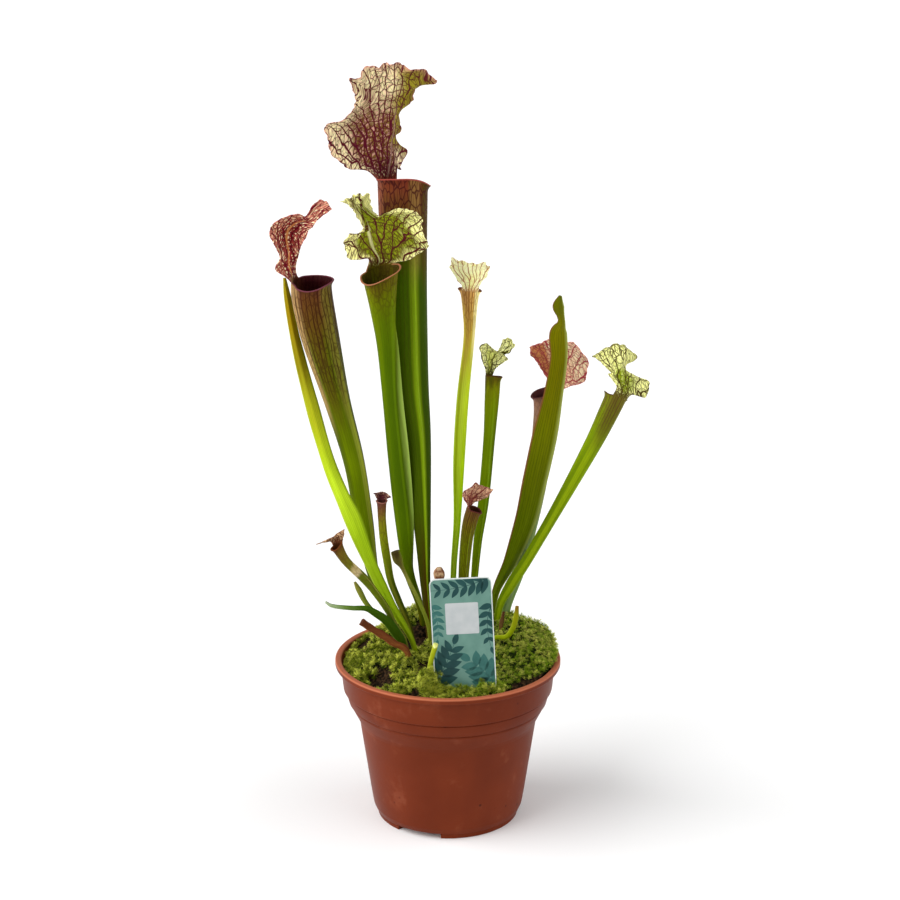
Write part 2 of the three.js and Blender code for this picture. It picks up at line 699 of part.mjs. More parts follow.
// One ring of a pitcher's tube, inset from its outside
function tubeRing(leaf, ring, u, inset, flare) {
  const at = along(leaf.spine, u);
  const { first, second, rise } = crossAxes(leaf.spine, u, facing(leaf.front));
  const lift = between(0.8, 1, u) ** 2;
  const { from, to, height, at: wingAt } = leaf.wing;
  const alongWing = THREE.MathUtils.clamp((u - from) / (to - from), 0, 1);
  const wingSize = inset > 0 ? 0 : height * Math.sin(Math.PI * alongWing);
  return ring.angles.map((angle, i) => {
    const onWing = Math.abs(angle - wingAt * DEGREE) < 1e-6;
    const atBack = i > ring.frontCount && i < ring.angles.length;
    const radius = at[3] - inset + (onWing ? wingSize : 0) + (atBack ? 0 : flare);
    const offset = add(times(first, radius * Math.cos(angle)), times(second, radius * Math.sin(angle)));
    return add(add(at.slice(0, 3), offset), times(rise, lift * lipRise(leaf, offset, angle)));
  });
}

// A hood's middle surface at t from the left margin, -1, to the right one, 1, and v from neck to end
function hoodPoint(leaf, mouth, lipArc, t, v) {
  const base = leaf.ribs[0].map((_, i) => lipArc(-1 + (2 * i) / (leaf.ribs[0].length - 1)));
  const rows = [base, ...leaf.ribs.map((rib) => rib.map((p) => add(p, mouth)))];
  const across = rows.map((row) => along(row, (t + 1) / 2));
  const fit = minus(lipArc(t), across[0]);
  const fade = Math.max(0, 1 - v * 3) ** 2;
  return add(along(across, v), times(fit, fade));
}

// Waves along a hood's margin, across the blade and out of it
function hoodWave(leaf, t, v) {
  const side = Math.abs(t) ** 4 * between(WAVES_FROM, WAVES_FULL, v);
  const top = v ** 8;
  const edge = Math.max(side, top);
  const round = (1 - WAVES_ON_TOP) * v + WAVES_ON_TOP * (1 - Math.abs(t)) * v ** 3;
  const phase = 2 * Math.PI * leaf.waves.count * round + (t > 0 ? WAVES_SHIFT : 0);
  const size = leaf.waves.size * edge;
  return { across: size * Math.sin(phase), out: 0.5 * size * Math.cos(phase) };
}

// Rows of a hood's inner and outer face
function hoodFaces(leaf, mouth, lipArc) {
  const { across, rows } = leaf.mesh;
  const surface = (t, v) => hoodPoint(leaf, mouth, lipArc, t, v);
  const step = 0.02;
  const inner = [];
  const outer = [];
  for (let j = 1; j <= rows; j += 1) {
    const v = j / rows;
    const innerRow = [];
    const outerRow = [];
    for (let k = 0; k <= across; k += 1) {
      const t = -1 + (2 * k) / across;
      const right = surface(Math.min(t + step, 1), v);
      const left = surface(Math.max(t - step, -1), v);
      const sideways = unit(minus(right, left));
      const upwards = unit(minus(surface(t, Math.min(v + step, 1)), surface(t, v - step)));
      const normal = unit(cross(sideways, upwards));
      const wave = hoodWave(leaf, t, v);
      const outwards = unit(add(times(sideways, t), times(upwards, v ** 8)));
      const middle = add(add(surface(t, v), times(normal, wave.across)), times(outwards, wave.out));
      innerRow.push(add(middle, times(normal, HOOD_THICKNESS / 2)));
      outerRow.push(add(middle, times(normal, -HOOD_THICKNESS / 2)));
    }
    inner.push(innerRow);
    outer.push(outerRow);
  }
  return { inner, outer };
}

// A pitcher: a hollow tube with a rolled lip, whose back goes on into the hood
function pitcher(leaf) {
  const skin = new Skin();
  const ring = ringAngles(leaf);
  const count = ring.angles.length;
  const floorAt = placeBelow(leaf.spine, leaf.cavity);
  const outerRings = ringPlaces(leaf).map((u) => tubeRing(leaf, ring, u, 0, 0));
  const flare = Math.min(LIP_ROLL, 0.2 * leaf.spine.at(-1)[3]);
  outerRings.push(tubeRing(leaf, ring, 1, 0, flare));
  const innerRings = evenly(1, floorAt, leaf.mesh.floor)
    .map((u) => tubeRing(leaf, ring, u, WALL, u === 1 ? flare : 0));
  const outer = outerRings.map((points) => points.map((p) => skin.point(p)));
  const inner = innerRings.map((points) => points.map((p) => skin.point(p)));
  for (let i = 0; i + 1 < outer.length; i += 1) {
    skin.band(outer[i], outer[i + 1]);
  }
  for (let i = 0; i + 1 < inner.length; i += 1) {
    skin.band(inner[i], inner[i + 1]);
  }
  skin.fan([...outer[0]].reverse(), leaf.spine[0].slice(0, 3));
  skin.fan(inner.at(-1), along(leaf.spine, floorAt).slice(0, 3));

  const outerLip = outer.at(-1);
  const innerLip = inner[0];
  for (let i = 0; i < ring.frontCount; i += 1) {
    skin.quad(outerLip[i], outerLip[i + 1], innerLip[i + 1], innerLip[i]);
  }

  const { across } = leaf.mesh;
  const column = (k) => (count - k) % count;
  const middles = listOf(across + 1, (k) => {
    const i = column(k);
    return times(add(outerRings.at(-1)[i], innerRings[0][i]), 0.5);
  });
  const lipArc = (t) => along(middles, (t + 1) / 2);
  const mouth = leaf.spine.at(-1).slice(0, 3);
  const faces = hoodFaces(leaf, mouth, lipArc);
  const lipRow = (lip) => listOf(across + 1, (k) => lip[column(k)]);
  const front = [lipRow(innerLip), ...faces.inner.map((row) => row.map((p) => skin.point(p)))];
  const back = [lipRow(outerLip), ...faces.outer.map((row) => row.map((p) => skin.point(p)))];
  for (let j = 0; j + 1 < front.length; j += 1) {
    for (let k = 0; k < across; k += 1) {
      skin.quad(front[j][k], front[j][k + 1], front[j + 1][k + 1], front[j + 1][k]);
      skin.backQuad(back[j][k], back[j][k + 1], back[j + 1][k + 1], back[j + 1][k]);
    }
    skin.quad(back[j][0], front[j][0], front[j + 1][0], back[j + 1][0]);
    skin.quad(front[j][across], back[j][across], back[j + 1][across], front[j + 1][across]);
  }
  const frontEnd = front.at(-1);
  const backEnd = back.at(-1);
  for (let k = 0; k < across; k += 1) {
    skin.quad(frontEnd[k], frontEnd[k + 1], backEnd[k + 1], backEnd[k]);
  }
  return skin.geometry();
}

// A closed loft along part of a spine; section gives offsets across it for a half width and an angle
function loft(spine, places, sides, wanted, section) {
  const skin = new Skin();
  const rows = places.map((u) => {
    const at = along(spine, u);
    const { first, second } = crossAxes(spine, u, wanted);
    return listOf(sides, (k) => {
      const [a, b] = section(at[3], (2 * Math.PI * k) / sides);
      return skin.point(add(at.slice(0, 3), add(times(first, a), times(second, b))));
    });
  });
  for (let i = 0; i + 1 < rows.length; i += 1) {
    skin.band(rows[i], rows[i + 1]);
  }
  skin.fan([...rows[0]].reverse(), along(spine, places[0]).slice(0, 3));
  skin.fan(rows.at(-1), along(spine, places.at(-1)).slice(0, 3));
  return skin.geometry();
}

// A flat leaf faces the front, with a keel down its face
function blade(leaf) {
  const section = (half, angle) => {
    const thick = Math.min(leaf.thickness, half);
    const keel = leaf.keel * Math.max(0, Math.cos(angle)) ** 8 * Math.min(1, half / 3);
    return [thick * Math.cos(angle) + keel, half * Math.sin(angle)];
  };
  return loft(leaf.spine, ringPlaces(leaf), BLADE_SIDES, FRONT, section);
}

const round = (radius, angle) => [radius * Math.cos(angle), radius * Math.sin(angle)];

function stem(part) {
  return loft(part.spine, ringPlaces(part), STEM_SIDES, FRONT, round);
}

// The plain hole that a leaf's foot needs in the moss
function footHole(leaf) {
  const places = ringPlaces(leaf);
  const above = places.findIndex((u) => along(leaf.spine, u)[2] > HOLE_TOP);
  const inMoss = above < 0 ? places : places.slice(0, above + 1);
  const widest = 1 / Math.cos(Math.PI / HOLE_SIDES);
  const section = (radius, angle) => round((radius + HOLE_GAP) * widest, angle);
  return loft(leaf.spine, inMoss, HOLE_SIDES, FRONT, section).translate(0, 0, -0.01);
}

// Height of the moss at its edge: high at the right, lower at the back and front, lowest at the left
function mossEdge(azimuth) {
  const right = Math.max(0, Math.cos(azimuth - MOSS_HIGH_SIDE * DEGREE)) ** 3;
  const back = Math.max(0, Math.sin(azimuth));
  const left = Math.max(0, -Math.cos(azimuth));
  return MOSS_EDGE + MOSS_EDGE_RIGHT * right + MOSS_EDGE_BACK * back + MOSS_EDGE_LEFT * left;
}

// How far the moss hangs over the rim at the right
function mossOverhang(azimuth) {
  return MOSS_OVERHANG * Math.max(0, Math.cos(azimuth - MOSS_HIGH_SIDE * DEGREE)) ** 3;
}

function mossHeight(x, y, share) {
  const edge = mossEdge(Math.atan2(y, x));
  const mounds = MOSS_MOUNDS.reduce((sum, [mx, my, height, spread]) => {
    const far = (x - mx) ** 2 + (y - my) ** 2;
    return sum + height * Math.exp(-far / (2 * spread ** 2));
  }, 0);
  const waves = TUFT_WAVES.map(([across, deep, start]) => Math.sin(across * x + deep * y + start));
  const [first, second, third] = waves;
  const tufts = first * second + 0.5 * third;
  const inner = 1 - between(MOSS_LEVEL_SHARE, 1, share);
  return edge + (POT_HEIGHT + mounds - edge) * inner + MOSS_TUFT * tufts * (0.3 + 0.7 * inner);
}

// The mix is level where the leaves stand and sinks towards the pot's wall
function mixHeight(radius) {
  return MIX_TOP - (MIX_TOP - MIX_EDGE_HEIGHT) * between(MIX_FLAT_RADIUS, MOSS_RADIUS, radius);
}

// The moss carpet: a mounded top with tufts, on the mix
function mossBody() {
  const skin = new Skin();
  const circle = (place) => listOf(MOSS_SECTORS, (i) => {
    const azimuth = (2 * Math.PI * i) / MOSS_SECTORS;
    const [radius, height] = place(azimuth);
    return skin.point([radius * Math.cos(azimuth), radius * Math.sin(azimuth), height]);
  });
  const onMix = (radius) => circle(() => [radius, mixHeight(radius) + SEAT_GAP]);
  const onTop = (share) => circle((azimuth) => {
    const radius = share * (MOSS_RADIUS + mossOverhang(azimuth));
    return [radius, mossHeight(radius * Math.cos(azimuth), radius * Math.sin(azimuth), share)];
  });
  const aboveRim = POT_HEIGHT + SEAT_GAP + 0.1;
  const rows = [
    onMix(MIX_FLAT_RADIUS),
    onMix((MIX_FLAT_RADIUS + MOSS_RADIUS) / 2),
    onMix(MOSS_RADIUS - MOSS_EDGE_INSET),
    circle((azimuth) => [MOSS_RADIUS, Math.min(mossEdge(azimuth) - MOSS_SKIRT_TOP, aboveRim)]),
    circle((azimuth) => {
      const height = Math.min(mossEdge(azimuth) - MOSS_OVERHANG_TOP, aboveRim + MOSS_OVERHANG_CLEAR);
      return [MOSS_RADIUS + mossOverhang(azimuth), height];
    }),
    ...MOSS_SHARES.map(onTop),
  ];
  for (let i = 0; i + 1 < rows.length; i += 1) {
    skin.band(rows[i], rows[i + 1]);
  }
  skin.fan([...rows[0]].reverse(), [0, 0, MIX_TOP + SEAT_GAP]);
  skin.fan(rows.at(-1), [0, 0, mossHeight(0, 0, 0)]);
  return solid(skin.geometry());
}

// The potting mix fills the pot below the moss
function mixBody() {
  const inset = POT_WALL + SEAT_GAP + 0.1;
  const floor = FLOOR_THICKNESS + SEAT_GAP;
  const side = plainWall(inset).filter(([, height]) => height < MIX_EDGE_HEIGHT);
  const edge = MOSS_RADIUS - 1;
  const profile = [
    [0, floor],
    [FOOT_RADIUS - 2.5 * POT_WALL, floor],
    [FOOT_RADIUS - 1.5 * POT_WALL, floor + 1.5 * POT_WALL],
    [HEEL_RADIUS - inset, HEEL_HEIGHT + POT_WALL],
    ...side,
    [edge, MIX_EDGE_HEIGHT],
    [(edge + MIX_FLAT_RADIUS) / 2, mixHeight((edge + MIX_FLAT_RADIUS) / 2)],
    [MIX_FLAT_RADIUS, MIX_TOP],
    [0, MIX_TOP],
  ];
  let body = solid(turned(profile, POT_SIDES));
  const clear = NOTCH_SKIN + SEAT_GAP;
  notchParts(() => notchWedge(NOTCH_INNER_RADIUS - clear, FOOT_RADIUS + 8, 0, NOTCH_HEIGHT + clear))
    .forEach((cut) => { body = body.subtract(solid(cut)); });
  return body;
}

// The rhizome, with a flattened top where the leaves stand; grow widens it for its trench
function rhizomeGeometry(grow) {
  const section = (half, angle) => {
    const high = (RHIZOME.half + grow) * Math.cos(angle);
    return [Math.min(high, RHIZOME.half + grow - 1), (half + grow) * Math.sin(angle)];
  };
  return loft(RHIZOME.spine, evenly(0, 1, RHIZOME.rings), BLADE_SIDES, UP, section);
}

// The label: a card with round corners on a tapered stake; grow widens it for its slot
function labelGeometry(grow) {
  const half = LABEL_WIDTH / 2 + grow;
  const foot = -LABEL_CARD_HEIGHT - grow;
  const corner = LABEL_CORNER;
  const shape = new THREE.Shape();
  shape.moveTo(-half, -corner);
  shape.quadraticCurveTo(-half, grow, -half + corner, grow);
  shape.lineTo(half - corner, grow);
  shape.quadraticCurveTo(half, grow, half, -corner);
  shape.lineTo(half, foot + corner);
  shape.quadraticCurveTo(half, foot, half - corner, foot);
  shape.lineTo(STAKE_WIDTH / 2 + grow, foot);
  shape.lineTo(STAKE_TIP_WIDTH / 2 + grow, foot - STAKE_LENGTH - grow);
  shape.lineTo(-STAKE_TIP_WIDTH / 2 - grow, foot - STAKE_LENGTH - grow);
  shape.lineTo(-STAKE_WIDTH / 2 - grow, foot);
  shape.lineTo(-half + corner, foot);
  shape.quadraticCurveTo(-half, foot, -half, foot + corner);
  shape.closePath();
  const thickness = LABEL_THICKNESS + 2 * grow;
  const settings = { depth: thickness, bevelEnabled: false, curveSegments: 5 };
  const geometry = new THREE.ExtrudeGeometry(shape, settings).translate(0, 0, -thickness / 2);
  const up = new THREE.Vector3(...LABEL_LEAN).normalize();
  const face = new THREE.Vector3(0, -1, 0).addScaledVector(up, up.y).normalize();
  const side = new THREE.Vector3().crossVectors(up, face);
  const frame = new THREE.Matrix4().makeBasis(side, up, face);
  return geometry.applyMatrix4(frame).translate(...LABEL_TOP);
}

// The whole plant
const plant = new THREE.Group();
plant.add(pot());

const labelSlot = solid(labelGeometry(SEAT_GAP));
const feet = [...Object.values(PITCHERS), ...Object.values(BLADES), ...Object.values(STEMS)];
const mix = mixBody().subtract(solid(rhizomeGeometry(SEAT_GAP))).subtract(labelSlot);
const uncutMoss = mossBody().subtract(labelSlot);
const moss = feet.reduce((body, leaf) => body.subtract(solid(footHole(leaf))), uncutMoss);

plant.add(piece('rhizome', rhizomeGeometry(0), 0x5a3c26, 0.9));
plant.add(piece('potting_mix', geometryOf(mix), 0x2a2018, 1));
plant.add(piece('moss_carpet', geometryOf(moss), 0x7f9a2c, 1));
plant.add(piece('plant_label', labelGeometry(0), 0x5f9184, 0.35));

const addAll = (leaves, shape, roughness) => Object.entries(leaves).forEach(([name, leaf]) => {
  plant.add(piece(name, shape(leaf), leaf.colour, roughness));
});
addAll(PITCHERS, pitcher, 0.45);
addAll(BLADES, blade, 0.45);
addAll(STEMS, stem, 0.7);

export default plant;
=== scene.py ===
"""A pitcher plant in a nursery pot: visual pieces over the CAD frame, +Z up, front towards -Y."""

import json
import math

import bmesh
import bpy
import numpy as np
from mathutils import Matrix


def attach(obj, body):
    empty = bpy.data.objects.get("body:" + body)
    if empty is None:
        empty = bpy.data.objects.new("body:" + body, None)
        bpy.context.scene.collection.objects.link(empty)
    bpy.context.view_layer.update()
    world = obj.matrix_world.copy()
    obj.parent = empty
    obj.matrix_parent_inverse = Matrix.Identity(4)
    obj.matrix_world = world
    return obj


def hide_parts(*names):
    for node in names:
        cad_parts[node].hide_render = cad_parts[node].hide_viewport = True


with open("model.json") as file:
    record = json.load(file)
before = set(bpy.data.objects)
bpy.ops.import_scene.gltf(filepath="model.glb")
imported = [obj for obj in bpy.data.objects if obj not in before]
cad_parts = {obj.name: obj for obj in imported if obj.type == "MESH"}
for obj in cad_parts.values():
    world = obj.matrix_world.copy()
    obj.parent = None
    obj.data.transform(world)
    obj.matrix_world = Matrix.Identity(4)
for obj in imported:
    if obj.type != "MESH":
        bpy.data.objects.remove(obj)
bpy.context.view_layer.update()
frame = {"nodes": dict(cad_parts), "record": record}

MM = 0.001
rng = np.random.default_rng(11)

# Pot, in millimetres. A profile point is (radius, height).
POT_HEIGHT = 88
POT_SIDES = 240
POT_TURN = 360
NOTCHES = 3
NOTCH_FIRST = -114.6
NOTCH_ARC = 38
NOTCH_HEIGHT = 3
NOTCH_INNER_RADIUS = 29
POT_OUTSIDE = [
    (0.0, 0), (28.9, 0), (29.1, 0.01), (38, 0), (38, 2.6), (38.9, 2.9), (40.2, 6), (41.4, 13), (47.2, 53),
    (47.9, 55.2), (51.6, 62.5), (51.7, 63.2), (51.4, 63.6), (51.7, 64.2), (52.9, 64.5), (54.5, 70.3),
    (54.1, 70.7), (54.3, 71.2), (55.6, 71.5), (55.8, 72.2), (57.1, 84.5), (57.3, 84.9), (59.7, 85),
    (60, 85.4), (60, 87.5), (59.6, 88), (57.3, 88), (56.8, 87.5),
]
POT_OUTSIDE_ROUND = 0.3
POT_INSIDE = [
    (56.1, 84.4), (53.8, 72), (50.9, 62.8), (46, 53), (40.1, 13), (38.9, 6.6), (36, 2.3), (35.2, 1.6),
    (0.0, 1.6),
]
POT_INSIDE_ROUND = 0.6

# Moss. A mound is (x, y, height, spread).
MOSS_RADIUS = 55.4
MOSS_EDGE = 86.8
MOSS_FLOOR = 81
MOSS_MOUNDS = [
    (-15, 28, 16, 20), (5, 5, 8, 18), (38, 28, 13, 16), (45, -5, 7, 12), (-21, -23, 9, 6), (-12, -47, 13, 5),
]
MOSS_RIGHT = 18
GROUND_DEPTH = 1.3
GROUND_MIDDLE = 84.4
GROUND_COLUMNS = 200
GROUND_RINGS = 58
SPRIG_STEP = 1.55
SPRIG_SHIFT = 0.5
LEAFLETS = 24
LOW_LEAFLETS = 12
EDGE_SPRIGS = 420

# Bare places: (x, y, radius across, radius deep, turned in degrees)
MOSS_GAPS = [
    (-35.5, -27, 7, 14, 10), (-17, -50, 7, 4, -8), (39, -38, 19, 6, 40), (-46, 20, 7, 14, 20),
    (-18, 4, 11, 10, 0), (-12, -28, 4, 9, 0), (20, -48, 4, 3, 30), (-26, -47, 8, 3, -20),
]

# Tall tufts: (x, y, spread, height, count)
MOSS_TUFTS = [
    (-9.6, -49.8, 2.2, 12, 240), (-5, -49.5, 2.2, 4, 60), (2, -48.5, 3.5, 3.5, 60), (12, -48, 3.5, 3.5, 60),
    (20, -46.5, 3, 4.5, 70), (25, -44, 1.8, 5, 50), (-27, -44, 4, 3, 50), (-44, -24, 4, 3, 50),
]

# Label. Points on it are (across, up) from the middle of its top edge.
LABEL_WIDTH = 31.6
LABEL_HEIGHT = 60
LABEL_THICKNESS = 0.8
LABEL_CORNER = 3.2
LABEL_TOP = (6.2, -41, 146.5)
LABEL_LEAN = (-2.8, 3, 54.2)
LABEL_BORDER = 0.5
STAKE_WIDTH = 9
STAKE_TIP_WIDTH = 3
STAKE_LENGTH = 24
PANEL_HALF = 8.4
PANEL_BOTTOM = -29.5
PANEL_TOP = -13

# Printed sprigs: start, bend, end, pairs of leaves, leaf length and width
DARK_SPRIGS = [
    ((-17, -58), (-9, -46), (-5, -35), 5, 11.5, 5.2),
    ((17, 1), (4, -6), (-15, -6), 7, 8.8, 3.6),
    ((17, -12), (10, -22), (14, -37), 5, 7, 3.3),
]
MIDDLE_SPRIGS = [
    ((17, -60), (11, -50), (3, -44), 4, 12.5, 6.8),
    ((-17, -12), (-11, -20), (-13, -32), 5, 6, 2.7),
]

# Leaf walls
FOOT = 84.3
WALL = 0.9
HOOD_THICKNESS = 0.7
LOBE_WIDTH = 4.2
LIP_ROLL = 1.3
LIP_ROLL_DEPTH = 3
LIP_ROLL_STEPS = 9
LIP_RINGS = 8
INNER_LIP_RINGS = 6
CAVITY_RINGS = 26
WING_SPREAD = 0.09
WING_STEPS = (-0.17, -0.12, -0.08, -0.04, 0, 0.04, 0.08, 0.12, 0.17)
FRONT = (0, -1, 0)

# Sides and rings
BLADE_GRID = (40, 110)
STEM_GRID = (20, 60)

